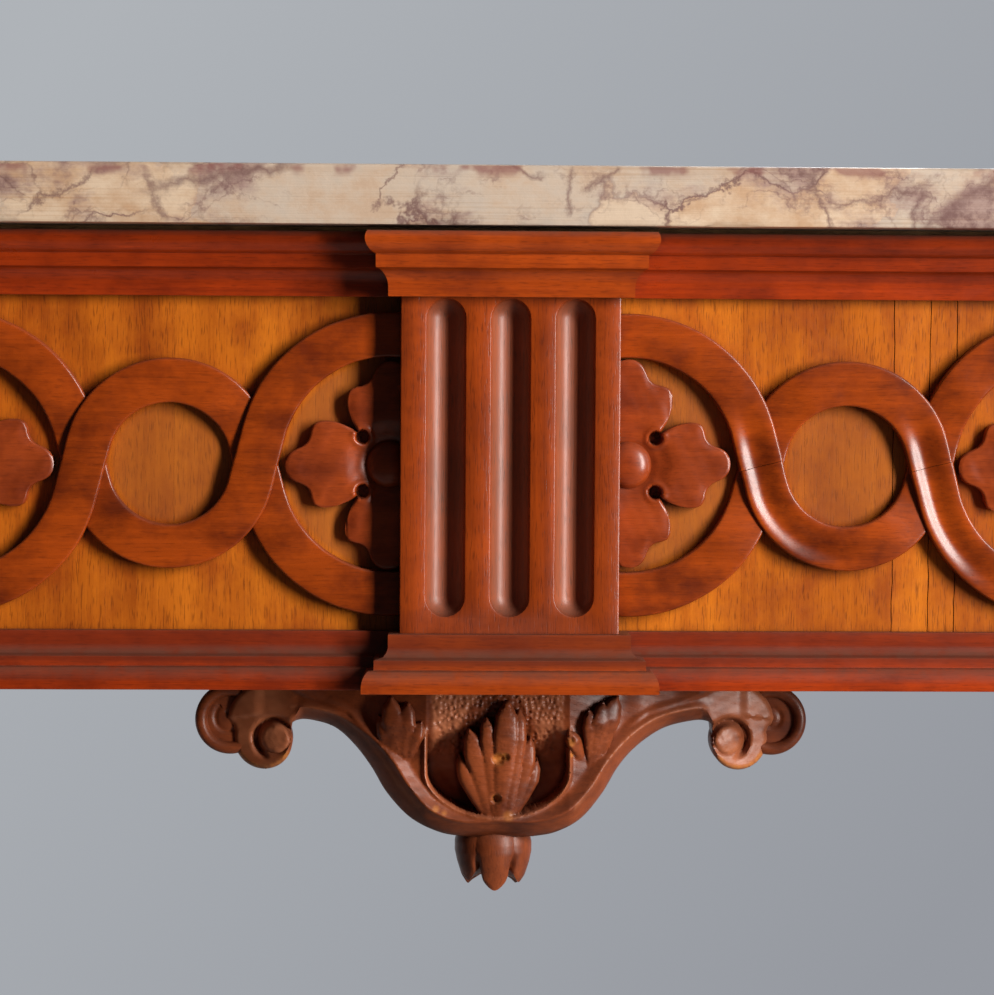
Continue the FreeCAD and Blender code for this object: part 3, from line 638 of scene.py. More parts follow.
# shape: points and arcs as shares of reach and height, from the top down
mouldings = {
    "crown": dict(reach=blockLow[1] - crownLow[1], low=crownLow[2], high=crownHigh[2],
                  shape=[(0, 0), (0.93, 0), ((1, 0.12), (0.915, 0.25)), ((0.8, 0.322), (0.7, 0.352)),
                         (0.7, 0.56), (0.6, 0.58), ((0.43, 0.69), (0.355, 0.84)), (0.355, 1), (0, 1)]),
    "base": dict(reach=blockLow[1] - baseLow[1], low=baseLow[2], high=baseHigh[2],
                 shape=[(0, 0), (0.3, 0), (0.3, 0.2), ((0.335, 0.31), (0.45, 0.4)), (0.67, 0.43),
                        (0.67, 0.605), (0.83, 0.612), ((0.945, 0.73), (1, 0.88)), (1, 1), (0, 1)]),
}
runNames = [("corner_back_left", 0, 2), ("left", 2, 3), ("corner_front_left", 3, 7), ("front_left", 7, 8),
            ("center", 8, 11), ("front_right", 11, 12), ("corner_front_right", 12, 16), ("right", 16, 17),
            ("corner_back_right", 17, 19)]
halfPath = [(postOut, yBack), (postOut, yBackPost), (panelX, yBackPost), (panelX, yFrontPost),
            (postOut, yFrontPost), (postOut, yFront), (postIn, yFront), (postIn, yPanel),
            (blockX, yPanel), (blockX, yFront)]
mouldingPath = np.array([(-x, y) for x, y in halfPath] + halfPath[::-1])


def mouldingLoop(run):
    # profile with its arrises eased
    look, line, corners = mouldingLook, [], []
    scale = np.array((run["reach"], run["high"] - run["low"]))
    for step in run["shape"]:
        bends = isinstance(step[0], tuple)
        ends = [tuple(np.array(point) * scale) for point in (step if bends else [step])]
        line += arcPoints(line[-1], *ends, look["bend"]) if bends else ends
        corners += [False] * (look["bend"] - 1) * bends + [True]
    line = np.array(line)
    eased = [line[0]]
    for before, here, after, corner in zip(line, line[1:], line[2:], corners[1:]):
        if corner:
            a, b = (here + way * min(look["easeShare"], look["ease"] / np.linalg.norm(way))
                    for way in (before - here, after - here))
            eased += [a, here * 0.5 + (a + b) * 0.25, b]
        else:
            eased.append(here)
    return np.array(eased + [line[-1]])


def mouldingRun(index, run, loop):
    look, height = mouldingLook, run["high"] - run["low"]
    outward = -leftOf(mouldingPath[index:index + 2])[0]
    sides = [-leftOf(mouldingPath[i:i + 2])[0] if 0 <= i < len(mouldingPath) - 1 else 0
             for i in (index - 1, index + 1)]
    start, end = mouldingPath[index:index + 2]
    length = np.linalg.norm(end - start)
    share = np.linspace(0, 1, max(2, int(length / look["station"]) + 1))
    uneven = look["waver"] * waver(share * length, look["seed"] + index)
    uneven *= np.minimum(1, np.minimum(share, 1 - share) * length / look["endFade"])
    moving = (loop[:, 1] > 1) * (loop[:, 1] < height - 0.5)
    rings = []
    for t, off in zip(share, uneven):
        reach = np.where(loop[:, 0] > look["still"], loop[:, 0] + off, loop[:, 0])[:, None]
        a, b = start + reach * (outward + sides[0]), end + reach * (outward + sides[1])
        rise = run["high"] - loop[:, 1] + look["riseShare"] * off * moving
        rings.append(np.column_stack([a + (b - a) * t, rise]))
    return tube(rings)


for kind, run in mouldings.items():
    loop = mouldingLoop(run)
    for runName, first, stop in runNames:
        sideRun = runName in ("left", "right")
        finish = "rail" if sideRun or runName.startswith("front") else "cap"
        wood = woodMaterial(finish, "Y" if sideRun else "X")
        nodeName = kind + "_" + runName
        piece(nodeName + "_run", [mouldingRun(i, run, loop) for i in range(first, stop)], wood, [nodeName])
print("mouldings made")


# fluted blocks
fluteLook = {"count": 3, "share": 0.18, "pitch": 0.294, "depth": 0.45, "low": 6.5, "high": 0.5, "rim": 0.45,
             "lip": (0.12, 0.14), "ease": 0.7, "easeMiddle": 0.3, "levels": 9, "firstTurn": 4, "turns": 15,
             "straight": 10}


def stadium(radius, low, high, middle):
    look, loop = fluteLook, []
    turns = np.linspace(0, np.pi, look["turns"])
    for side, start, end in ((1, high, low), (-1, low, high)):
        loop += [(middle + side * radius * math.cos(t), start + side * radius * math.sin(t)) for t in turns]
        loop += [(middle - side * radius, start + (end - start) * i / look["straight"])
                 for i in range(1, look["straight"])]
    return np.array(loop)


def flutedFace(half, low, high, place):
    # place turns (across, depth, height) into the row frame
    look = fluteLook
    width = look["share"] * 2 * half
    radius, edge = width / 2, half - look["ease"]
    floorZ, topZ = friezeLow + look["low"] + radius, friezeHigh - look["high"] - radius
    parts, flat = [], [np.array([(-edge, low), (edge, low), (edge, high), (-edge, high)])]
    for n in range(look["count"]):
        middle = (n - (look["count"] - 1) / 2) * look["pitch"] * 2 * half
        levels = [(radius + look["rim"], 0.0), (radius + look["lip"][0], look["lip"][1])]
        for i in range(look["levels"] + 1):
            turn = math.radians(look["firstTurn"] + (90 - look["firstTurn"]) * i / look["levels"])
            levels.append((max(0.02, radius * math.cos(turn)), look["depth"] * width * math.sin(turn)))
        loops = [stadium(size, floorZ, topZ, middle) for size, _ in levels]
        rings = [np.insert(loop, 1, depth, axis=1) for loop, (_, depth) in zip(loops, levels)]
        parts.append((place(np.concatenate(rings)), gridFaces(len(rings), len(rings[0]))))
        flat.append(loops[0])
    triangles = tessellate_polygon([[Vector((x, z, 0)) for x, z in loop] for loop in flat])
    parts.append((place(np.insert(np.concatenate(flat), 1, 0, axis=1)), [list(t) for t in triangles]))
    return parts


def flutedBlock(center, halfX, halfY, low, high, fluted):
    # a squared block with eased upright edges; fluted names the faces that carry flutes
    ease, easeIn = fluteLook["ease"], fluteLook["ease"] * fluteLook["easeMiddle"]
    parts, corners = [], []
    frames = {"front": ((1, 0), (0, 1), halfX, halfY), "right": ((0, 1), (-1, 0), halfY, halfX),
              "back": ((-1, 0), (0, -1), halfX, halfY), "left": ((0, -1), (1, 0), halfY, halfX)}
    for side, (across, inward, half, off) in frames.items():
        def place(points, across=np.array(across, float), inward=np.array(inward, float), off=off):
            points = np.asarray(points, float)
            plan = np.array(center) + points[:, :1] * across + (points[:, 1:2] - off) * inward
            return np.column_stack([plan, points[:, 2]])

        edge = half - ease
        strip = [(edge, 0), (half - easeIn, easeIn), (half, ease)]
        if side in fluted:
            parts += flutedFace(half, low, high, place)
        else:
            face = [(-edge, 0, low), (edge, 0, low), (edge, 0, high), (-edge, 0, high)]
            parts.append((place(face), [(0, 1, 2, 3)]))
        column = [(a, d, z) for a, d in strip for z in (low, high)]
        parts.append((place(column), [(0, 2, 3, 1), (2, 4, 5, 3)]))
        corners.append(place([(a, d, 0) for a, d in [(-edge, 0)] + strip[:2]]))
    cap = np.concatenate(corners)
    for z in (low, high):
        parts.append((cap + (0, 0, z), [list(range(len(cap)))]))
    return parts


middleBlock = flutedBlock((0, (blockLow[1] + blockHigh[1]) / 2), blockX, (blockHigh[1] - blockLow[1]) / 2,
                          blockLow[2], blockHigh[2], ("front",))
piece("middle_block", middleBlock, woodMaterial("block", "Z"), ["center_block"])
print("middle block made")


# legs
legLook = {"foot": 13.0, "swell": 23.0, "shaftFoot": 18.0, "shaftTop": 29.0, "footHeight": 98.0,
           "capital": 72.0, "flutes": 12, "margin": 14.0, "fluteShare": 0.34, "bend": 10,
           # rows near the ends of the flutes, and between them
           "lowRows": (-6, -5, -4, -3, -2, -1, 0, 2), "rows": (12, 36),
           "highRows": (-2, 0, 1, 2, 3, 4, 5, 6, 7, 8, 9),
           "fluteTurns": (-90, -75, -58, -38, -19, 0, 19, 38, 58, 75, 90)}


def legProfile(height):
    # radius and height from the foot up; longer steps are arcs
    look = legLook
    shaft, top, swell = look["shaftFoot"], look["shaftTop"], look["swell"]
    neck, collar, shaftTop = shaft - 1, shaft + 1.5, height - look["capital"]
    foot = [(look["foot"] - 1, 0), (look["foot"], 0.012), (swell - 2.5, 0.245, swell, 0.51),
            (swell - 1.2, 0.62, neck, 0.695), (neck - 1.5, 0.697), (neck - 1.5, 0.755),
            (swell - 1, 0.815, neck, 0.89), (collar - 0.6, 0.89), (collar, 0.9), (collar, 0.93),
            (collar - 0.6, 0.94), (shaft, 1.0)]
    capital = [(top, 0), (top + 2.2, 0.05), (top + 2.5, 0.058), (top + 2.5, 0.105), (top + 2.0, 0.112),
               (top - 2, 0.195, top - 3, 0.305), (top + 5, 0.4, top - 2, 0.5),
               (top + 7, 0.655, top + 9, 0.835), (top + 10.4, 0.836), (top + 11, 0.845), (top + 11, 1.0)]
    line = []
    for steps, base, size in ((foot, 0, look["footHeight"]), (capital, shaftTop, look["capital"])):
        for step in steps:
            ends = [(radius, base + share * size) for radius, share in zip(step[::2], step[1::2])]
            line += arcPoints(line[-1], *ends, look["bend"]) if len(ends) > 1 else ends
    return line, look["footHeight"], shaftTop


def turnedLeg(center, height):
    look = legLook
    line, low, high = legProfile(height)
    z0, z1, (inset, count) = low + look["margin"], high - look["margin"], look["rows"]
    inner = [z0 + d for d in look["lowRows"]] + list(np.linspace(z0 + inset, z1 - inset, count))
    inner += [z1 + d for d in look["highRows"]]
    slope = (look["shaftTop"] - look["shaftFoot"]) / (high - low)
    below = sum(z <= low + 1e-6 for _, z in line)
    rows = line[:below] + [(look["shaftFoot"] + slope * (z - low), z) for z in inner] + line[below:]
    share = 2 * math.pi * look["fluteShare"] / look["flutes"]
    half, wide = math.degrees(math.asin(share)), 180 / look["flutes"]
    steps = [-wide, -(half + wide) / 2]
    steps += [math.degrees(math.asin(share * math.sin(math.radians(t)))) for t in look["fluteTurns"]]
    steps += [(half + wide) / 2]
    turns = np.radians([wide + 2 * wide * n + s for n in range(look["flutes"]) for s in steps])
    lateral = np.sin(np.radians(np.array(steps * look["flutes"])))
    rings = []
    for radius, z in rows:
        reach, beyond = share * radius, max(0.0, z0 - z, z - z1)
        cut = np.zeros(len(turns))
        if low < z < high and beyond < reach:
            cut = np.sqrt(np.maximum(0, reach**2 - beyond**2 - (lateral * radius) ** 2))
        rings.append(ring(center, radius - cut, turns, z))
    return tube(rings)


postHalf = (postOut - postIn) / 2
for sideName, side in (("left", -1), ("right", 1)):
    for rank, yMid, faces in (("front", yFront + postHalf, ("front", sideName)),
                              ("back", yBack - postHalf, (sideName,))):
        center, legName = (side * (postIn + postOut) / 2, yMid), "leg_%s_%s" % (rank, sideName)
        parts = [turnedLeg(center, baseLow[2])]
        parts += flutedBlock(center, postHalf, postHalf, baseLow[2], postHigh[2], faces)
        piece(legName + "_turned", parts, woodMaterial("block", "Z"), [legName])
print("legs made")


# veneer leaves
veneerLook = {"narrow": 24.0, "wide": 58.0, "gap": 0.02, "crackGap": 0.3, "step": 0.05, "ease": 0.05,
              "stations": 22, "waves": ((60.0, 0.5), (19.0, 0.5)), "sway": 0.12, "crackSway": 0.55,
              "tone": 0.75, "cracks": {"front_right": [151.0, 165.2, 175.6]}}


def veneerCuts(name, low, high, draw):
    # edges of the leaves, and whether the joint there has cracked
    look = veneerLook
    cuts = [(low, False)]
    while cuts[-1][0] < high - look["narrow"]:
        before, place = cuts[-1][0], cuts[-1][0] + draw.uniform(look["narrow"], look["wide"])
        ahead = [crack for crack in look["cracks"].get(name, []) if before < crack <= place + look["narrow"]]
        cuts.append((ahead[0], True) if ahead else (place, False))
    return cuts[:-1] + [(high, False)]


def veneerLeaves(name, low, high, face, behind, bottom, top, along):
    # upright leaves side by side; along is the axis that they follow each other on
    look, ease = veneerLook, veneerLook["ease"]
    draw = np.random.default_rng(len(name) * 7 + 3)
    cuts = veneerCuts(name, low, high, draw)
    heights = np.linspace(bottom, top, look["stations"])
    parts, tones, edges = [], [], []
    for place, crack in cuts:
        sway = waver(heights, int(draw.integers(1000)), look["waves"])
        sway *= look["crackSway" if crack else "sway"]
        edges.append((place + sway * (low < place < high), look["crackGap" if crack else "gap"] / 2))
    for (left, leftGap), (right, rightGap) in zip(edges, edges[1:]):
        level = face + (behind - face) * draw.uniform(0, look["step"]) / 3
        eased = level + math.copysign(ease, behind - face)
        rings = []
        for a, b, z in zip(left + leftGap, right - rightGap, heights):
            row = [(a, behind), (a, eased), (a + ease, level), (b - ease, level), (b, eased), (b, behind)]
            row = np.array([(place, deep, z) for place, deep in row])
            rings.append(row[:, (1, 0, 2)] if along == "Y" else row)
        parts.append(tube(rings))
        tones += [draw.uniform(0.0, look["tone"])] * len(parts[-1][0])
    return parts, tones


for veneerName in ("front_left", "front_right", "left", "right"):
    low, high = mmBox("veneer_" + veneerName)
    along, across = (0, 1) if veneerName.startswith("front") else (1, 0)
    face, behind = (high[across], low[across]) if veneerName == "right" else (low[across], high[across])
    leaves, tones = veneerLeaves(veneerName, low[along], high[along], face, behind, low[2], high[2],
                                 "XY"[along])
    piece("veneer_%s_leaves" % veneerName, leaves, woodMaterial("veneer"), ["veneer_" + veneerName],
          marks=[("tone", tones)])
print("veneer laid")


# guilloche
bandLook = {"width": 17.2, "height": ringHigh[1] - ringLow[1], "edge": 0.9, "hollow": 2.0, "dip": 2.7,
            "crown": 0.35, "joint": 0.1, "tuck": 3.0, "step": 2.2, "smallShare": 0.64, "spread": 1.0325,
            "offset": 4.0, "straight": 7, "uneven": 0.12, "below": 0.1,
            "edgeShares": (0, 0.1, 0.3, 0.6), "across": 10,
            # ramps: along a strand to where it passes under or over, and across it from either edge
            "dipRun": (36, -26), "wornRuns": {True: (30, -27), False: (62, -30)},
            "hollowIn": (0.6, 6.4), "hollowOut": (1.7, 8.5)}
largeRadius = (ringHigh[2] - ringLow[2] - bandLook["width"]) / 2
smallRadius = bandLook["smallShare"] * largeRadius
ringSpacing = bandLook["spread"] * (largeRadius + smallRadius)
crossAngle = math.acos(1 / bandLook["spread"])


def onFront(side):
    return lambda p: np.column_stack([side * (blockX + p[:, 0]), yPanel - p[:, 2], friezeMid + p[:, 1]])


def onEnd(side):
    return lambda p: np.column_stack([side * (panelX + p[:, 2]), yFrontPost + p[:, 0], friezeMid + p[:, 1]])


frontRun = dict(periods=3, axis="X", span=postIn - blockX)
endRun = dict(periods=2, axis="Y", span=yBackPost - yFrontPost)
friezes = {"front_right": dict(frontRun, wear=1.0, place=onFront(1)),
           "front_left": dict(frontRun, wear=0.0, place=onFront(-1)),
           "right": dict(endRun, wear=0.0, place=onEnd(1)), "left": dict(endRun, wear=0.0, place=onEnd(-1))}


def halfBand(k, upper, last, seed, wear):
    # half a ring with straight ends that meet the strands of its neighbours
    look, edge = bandLook, bandLook["edge"]
    radius, middle = smallRadius if k % 2 else largeRadius, look["offset"] + ringSpacing * k
    cross = math.degrees(crossAngle)
    hidden = math.degrees(math.acos(-(look["offset"] + look["tuck"]) / radius)) if k in (0, last) else None
    begin, end = hidden if k == 0 else 180 - cross, 180 - hidden if k == last else cross
    count = max(8, int(math.radians(begin - end) * radius / look["step"]))
    turns = np.radians(np.linspace(begin, end, count))
    line = np.column_stack([middle + radius * np.cos(turns), (1 if upper else -1) * radius * np.sin(turns)])
    shorter = 1 - look["joint"] * (0.2 + 0.8 * wear) / (radius * math.tan(crossAngle))
    straight, reach = np.linspace(1, 0, look["straight"])[:, None] * shorter, radius / math.cos(crossAngle)
    if k > 0:
        line = np.concatenate([(line[0] + ((middle - reach, 0) - line[0]) * straight)[:-1], line])
    if k < last:
        line = np.concatenate([line, (line[-1] + ((middle + reach, 0) - line[-1]) * straight[::-1])[1:]])
    lengths = runLength(line)
    side = leftOf(line, lengths)
    ends = [(lengths, k > 0), (lengths[-1] - lengths, k < last)]
    (under, underHere), (over, overHere) = ends if upper else ends[::-1]
    worn = wear * overHere * ramp(over, *look["wornRuns"][upper])
    top = look["height"] - look["dip"] * underHere * ramp(under, *look["dipRun"]) - look["below"]
    top = top + look["uneven"] * waver(lengths, seed)
    halves = look["width"] / 2 + look["uneven"] * waver(lengths + 400, seed + 7)
    rings = []
    for point, left, half, high, hollow in zip(line, side, halves, top, look["hollow"] * worn):
        whole = 2 * half
        flat = edge + (half - edge) * np.linspace(0, 1, look["across"])
        inner = np.concatenate([np.array(look["edgeShares"]) * edge, flat])
        across = np.concatenate([inner, whole - inner[-2::-1]])
        lift = high - roundOver(np.minimum(across, whole - across), edge)
        lift += look["crown"] * (1 - (across / half - 1) ** 2)
        # strands that pass over are worn hollow behind their lower edge
        lift -= hollow * ramp(across, *look["hollowIn"]) * ramp(whole - across, *look["hollowOut"])
        row = np.concatenate([[(-half, sunk)], np.column_stack([across - half, lift]), [(half, sunk)]])
        rings.append(np.column_stack([point + row[:, :1] * left, row[:, 1]]))
    return tube(rings)


for friezeName, frieze in friezes.items():
    last, parts = 2 * frieze["periods"], []
    for k in range(last + 1):
        for upper in (True, False):
            points, faces = halfBand(k, upper, last, 10 * k + 3 * upper + len(friezeName), frieze["wear"])
            parts.append((frieze["place"](points), faces))
    piece("guilloche_%s_bands" % friezeName, parts, woodMaterial("band", frieze["axis"]),
          ["guilloche_" + friezeName], sharp=50.0)
print("guilloche made")


# rosettes
rosetteLook = {"reach": 41.5, "boss": 9.0, "bossHeight": 6.9, "bossFoot": 2.4, "petal": 5.2, "fall": 0.5,
               "neck": 3.3, "side": 16.6, "eye": 15.0, "eyeRadius": 2.4, "eyeFloor": 0.4, "turns": 240,
               "innerRings": 24, "outerRings": 22, "inner": 17.6, "edge": 0.45, "dent": 0.35, "seam": 1.6,
               "uneven": 0.12, "lean": (-1.6, 1.6), "size": (0.96, 1.0), "swell": (-0.35, 0.35)}
# turn from the petal's middle, and share of its reach there
petalEdge = ((0, 1.0), (4, 0.99), (7, 0.964), (9.5, 0.92), (11.5, 0.87), (13.5, 0.834), (16.5, 0.81),
             (20, 0.805), (24, 0.816), (28, 0.818), (31, 0.793), (34.5, 0.735), (38, 0.655),
             (41, 0.565), (43.5, 0.485), (45, 0.425))


def rosette(seed):
    look, quarter, foot = rosetteLook, np.pi / 2, rosetteLook["bossFoot"]
    draw = np.random.default_rng(seed)
    turns = fullTurn(look["turns"])
    petal = np.degrees((turns + quarter / 2) % quarter) - 45
    index = ((turns + quarter / 2) // quarter).astype(int) % 4
    corner = np.round((turns - quarter / 2) / quarter) * quarter + quarter / 2
    lean, size, swell = (draw.uniform(*look[name], 4)[index] for name in ("lean", "size", "swell"))
    edge = look["reach"] * size * np.interp(np.abs(petal + lean * bell(petal, 25)), *zip(*petalEdge))
    rows = [np.full(look["turns"], r) for r in np.linspace(0.05, look["inner"], look["innerRings"])]
    shares = np.linspace(0, 1, look["outerRings"])[1:] ** 0.7
    rows += [look["inner"] + (edge - look["inner"]) * t for t in shares]
    rings = []
    for r in rows:
        x, y, across = r * np.cos(turns), r * np.sin(turns), r * np.sin(np.radians(np.abs(petal)))
        toEdge = np.minimum(look["side"] - across, (edge - r) * 0.92)
        gap = np.maximum(0, np.where(r < look["eye"], 9.0, toEdge))
        height = look["neck"] + (look["petal"] + swell - look["neck"]) * ramp(r, 10.5, 9)
        height -= look["fall"] * ramp(gap, 6, -6) ** 2 * ramp(r, 16, 6)
        height -= look["dent"] * bell(r - 33, 5) * bell(across, 6)
        height += look["uneven"] * waver(x * 2 + y, seed + 3) - roundOver(gap, look["edge"])
        # drilled eyes with raised rims, and seams from them outwards
        eyeX, eyeY = look["eye"] * np.cos(corner), look["eye"] * np.sin(corner)
        eyeGap = np.hypot(x - eyeX, y - eyeY) - look["eyeRadius"]
        height += 0.5 * bell(eyeGap - 1.2, 1.0)
        height += (look["eyeFloor"] - height) * ramp(eyeGap, 0.45, -0.8)
        height -= look["seam"] * bell(r * np.sin(turns - corner), 0.7) * (r > look["eye"] + 1)
        off = r - look["boss"]
        dome = foot + (look["bossHeight"] - foot) * np.sqrt(np.maximum(0, 1 - (r / look["boss"]) ** 2))
        height = np.where(off < 3, foot + (height - foot) * ramp(off, -0.4, 3.2), height)
        rings.append(np.column_stack([x, y, np.where(off < -0.4, dome, height)]))
    return tube(rings + [np.column_stack([x, y, np.full(look["turns"], sunk)])])


for friezeName, frieze in friezes.items():
    parts = []
    for k in range(0, 2 * frieze["periods"] + 1, 2):
        points, faces = rosette(31 * k + len(friezeName))
        points[:, 0] += bandLook["offset"] + ringSpacing * k
        parts.append((frieze["place"](points), faces))
    ends = frieze["place"](np.array([(0.05, 0, 0), (frieze["span"] - 0.05, 0, 0)]))
    outward = (ends[0] - ends[1]) / np.linalg.norm(ends[0] - ends[1])
    piece("rosettes_%s_carved" % friezeName, parts, woodMaterial("rosette", frieze["axis"]),
          ["rosettes_" + friezeName], sharp=55.0,
          cuts=[(ends[0], outward), (ends[1], -outward)])
print("rosettes made")


# pendant, in millimetres from its middle and from its top
pendantLook = {
    "middle": (pendantLow[0] + pendantHigh[0]) / 2, "front": pendantHigh[1] - 33.0, "depth": 33.0,
    "step": 0.95,
    "edge": [(0, -59.2), (8, -59.3), (15.3, -59.0), (23.6, -57.2), (33.3, -51.9), (41.5, -42.6),
             (47.8, -32.6), (55.2, -24.6), (65, -17.8), (75.3, -15.2), (81.2, -15.2), (83.4, -16.2)],
    "eye": (90.2, -22.7), "eyeRadius": 5.9, "scroll": (95.1, -23.4), "scrollRadius": 11.8, "groove": 1.25,
    "spur": [(107.2, -18.6), (108.6, -17.5), (109.7, -15.8), (107.6, -9.4), (103.0, -3.9), (96.5, -0.9),
             (88.0, -0.2)],
    "flank": 5.2, "flankDepth": 6.8, "channel": 3.4, "bow": 3.0, "inScroll": (79, 5),
    "pocket": 27.5, "pocketTop": -0.4, "pocketLow": -33.0, "pocketDrop": 17.5, "pocketDepth": 17.5,
    "leafOut": 3.0, "sideOut": 1.2,
    "armShift": 2.3, "turnOut": (0.28, 0.46), "curl": (108.3, -15.8), "curlRadius": 14.0, "curlFront": 26.0,
    "curlTube": 2.4, "curlTurns": 96, "layer": [(48, -19.0), (59, -11.2), (70, -7.8), (78, -5.2), (85, -1.4)],
    # lines that the mesh follows: beside lobes, pocket, eyes and arris
    "lobeLines": (-0.2, 0.12), "pocketLines": (2.2, 1.7, 1.25, 0.85, 0.5, 0.15, -0.35, -0.7),
    "eyeLines": (-0.5, -0.25, 0.1), "arrisLines": (-0.4, 0.1, 0.6, 1.2), "topHalf": 86,
    # chips: place, size and depth; broken: place, size and paleness
    "chips": [(0.0, -27.6, 1.9, 2.6), (2.6, -26.9, 1.5, 1.6), (-0.8, -43.4, 1.6, 2.8),
              (28.2, -20.5, 1.4, 1.2)],
    "broken": [(0.0, -27.4, 2.3, 0.9), (2.4, -26.6, 1.5, 0.8), (-0.8, -43.2, 1.7, 0.5),
               (28.4, -21.5, 1.5, 0.8), (29.0, -26.5, 0.9, 0.7), (-24.2, -47.6, 1.2, 0.7),
               (-21.0, -49.2, 0.9, 0.7), (4.0, -50.3, 2.0, 0.4)],
}
# lobes: root, bend, tip, widths at root, belly and tip, depth at root, belly and tip
centreLobes = [
    ((1.0, -49.4), (2.6, -24), (3.4, -7.0), 3.0, 5.2, 3.2, -0.6, -5.0, -2.2),
    ((3.4, -49.4), (6.8, -24), (8.0, -9.6), 2.8, 3.8, 1.6, -0.4, -3.8, -0.8),
    ((-0.6, -49.4), (-3.4, -25), (-4.6, -12.4), 2.6, 3.6, 1.4, -0.2, -3.4, -0.4),
    ((-3.2, -49.4), (-7.8, -30), (-11.4, -16.8), 2.6, 4.8, 1.0, 0.4, -2.3, -0.2),
    ((-4.6, -49.4), (-10.8, -37.5), (-14.8, -27.6), 2.4, 4.0, 0.9, 1.0, -0.6, 1.4),
    ((5.4, -49.4), (9.6, -32), (12.6, -20.2), 2.4, 4.4, 1.0, 0.6, -1.4, 1.0),
    ((6.2, -49.4), (11.8, -38), (15.4, -29.2), 2.2, 3.6, 0.9, 1.4, 0.4, 2.6),
]
leftLobes = [
    ((-38.0, -33.0), (-41.8, -20.5), (-44.6, -12.0), 1.8, 3.4, 0.9, 2.4, -2.4, -1.2),
    ((-37.4, -34.0), (-39.4, -17.0), (-40.2, -4.8), 1.8, 4.3, 1.6, 2.4, -4.2, -2.6),
    ((-36.8, -34.0), (-35.6, -17.5), (-34.2, -6.8), 1.8, 3.8, 1.3, 2.4, -3.6, -2.0),
    ((-35.8, -32.0), (-32.4, -21.0), (-29.6, -13.8), 1.8, 3.1, 0.9, 2.4, -2.2, -0.8),
]
rightLobes = [
    ((37.8, -34.0), (42.8, -15.5), (46.8, -4.4), 1.8, 4.6, 1.6, 2.4, -4.4, -3.0),
    ((37.2, -34.0), (39.8, -16.5), (41.2, -6.4), 1.8, 3.9, 1.2, 2.4, -4.8, -2.8),
    ((36.8, -34.0), (36.8, -18.5), (35.7, -9.4), 1.8, 3.8, 1.0, 2.4, -3.6, -2.2),
    ((33.4, -29.5), (30.4, -22.5), (27.8, -17.4), 1.8, 3.0, 1.1, 2.0, -2.2, -1.0),
]


def throughPoints(points, step):
    # evenly spaced points on a smooth line through the given ones
    points = np.array(points, float)
    padded = np.concatenate([[2 * points[0] - points[1]], points, [2 * points[-1] - points[-2]]])
    t = np.linspace(0, 1, 24, endpoint=False)[:, None]
    line = [0.5 * (2 * b + (c - a) * t + (2 * a - 5 * b + 4 * c - d) * t**2 + (3 * b - a - 3 * c + d) * t**3)
            for a, b, c, d in zip(padded, padded[1:], padded[2:], padded[3:])]
    line = np.concatenate(line + [points[-1:]])
    length = runLength(line)
    marks = np.linspace(0, length[-1], max(2, int(round(length[-1] / step)) + 1))
    return np.column_stack([np.interp(marks, length, line[:, axis]) for axis in (0, 1)])


def nearest(points, line):
    # distance to a row of points, and which one is nearest
    best, index = np.full(len(points), 1e9), np.zeros(len(points), int)
    for start in range(0, len(points), 2000):
        gap = np.linalg.norm(points[start:start + 2000, None, :] - line[None, :, :], axis=2)
        index[start:start + 2000] = gap.argmin(axis=1)
        best[start:start + 2000] = gap.min(axis=1)
    return best, index


def lobeShape(lobe):
    root, bend, tip = (np.array(p, float) for p in lobe[:3])
    w0, w1, w2, d0, d1, d2 = lobe[3:]
    t = np.linspace(0, 1, 44)
    s = t[:, None]
    spine = (1 - s) ** 2 * root + 2 * s * (1 - s) * (2 * bend - (root + tip) / 2) + s**2 * tip
    widths = (w0, w0 * 0.4 + w1 * 0.6, w1, w1 * 0.55 + w2 * 0.45, w2 * 0.6)
    width = np.interp(t, (0, 0.28, 0.62, 0.86, 1), widths)
    depth = np.interp(t, (0, 0.3, 0.6, 0.85, 1), (d0, d0 * 0.45 + d1 * 0.55, d1, d1 * 0.6 + d2 * 0.4, d2))
    return spine, width, depth


def lobeOutline(lobe, off):
    spine, width, _ = lobeShape(lobe)
    left = leftOf(spine)
    side, ahead = left * (width + off)[:, None], np.array((left[-1][1], -left[-1][0]))
    tip = [spine[-1] + (width[-1] + off) * (ahead * math.cos(a) + left[-1] * math.sin(a))
           for a in np.linspace(-np.pi / 2, np.pi / 2, 9)[1:-1]]
    return np.concatenate([spine + side, spine - side, tip])


def scrollOutline():
    # lower edge from the middle to the end of the scroll
    look = pendantLook
    under = [np.array(look["scroll"]) + look["scrollRadius"] * np.array((math.cos(a), math.sin(a)))
             for a in np.radians(np.arange(162, 378, 4))]
    return np.concatenate([throughPoints(look["edge"], 0.9), under])


pendantEdge, pendantSpur = scrollOutline(), throughPoints(pendantLook["spur"], 0.9)


def pocketGap(points):
    # about the distance outside the pocket's rim
    wide, deep = pendantLook["pocket"], pendantLook["pocketDrop"]
    across, drop = np.abs(points[:, 0]) / wide, np.maximum(0, pendantLook["pocketLow"] - points[:, 1]) / deep
    share = np.hypot(across, drop)
    return (share - 1) * np.where(drop > 0, wide + (deep - wide) * drop / np.maximum(share, 0.2), wide)


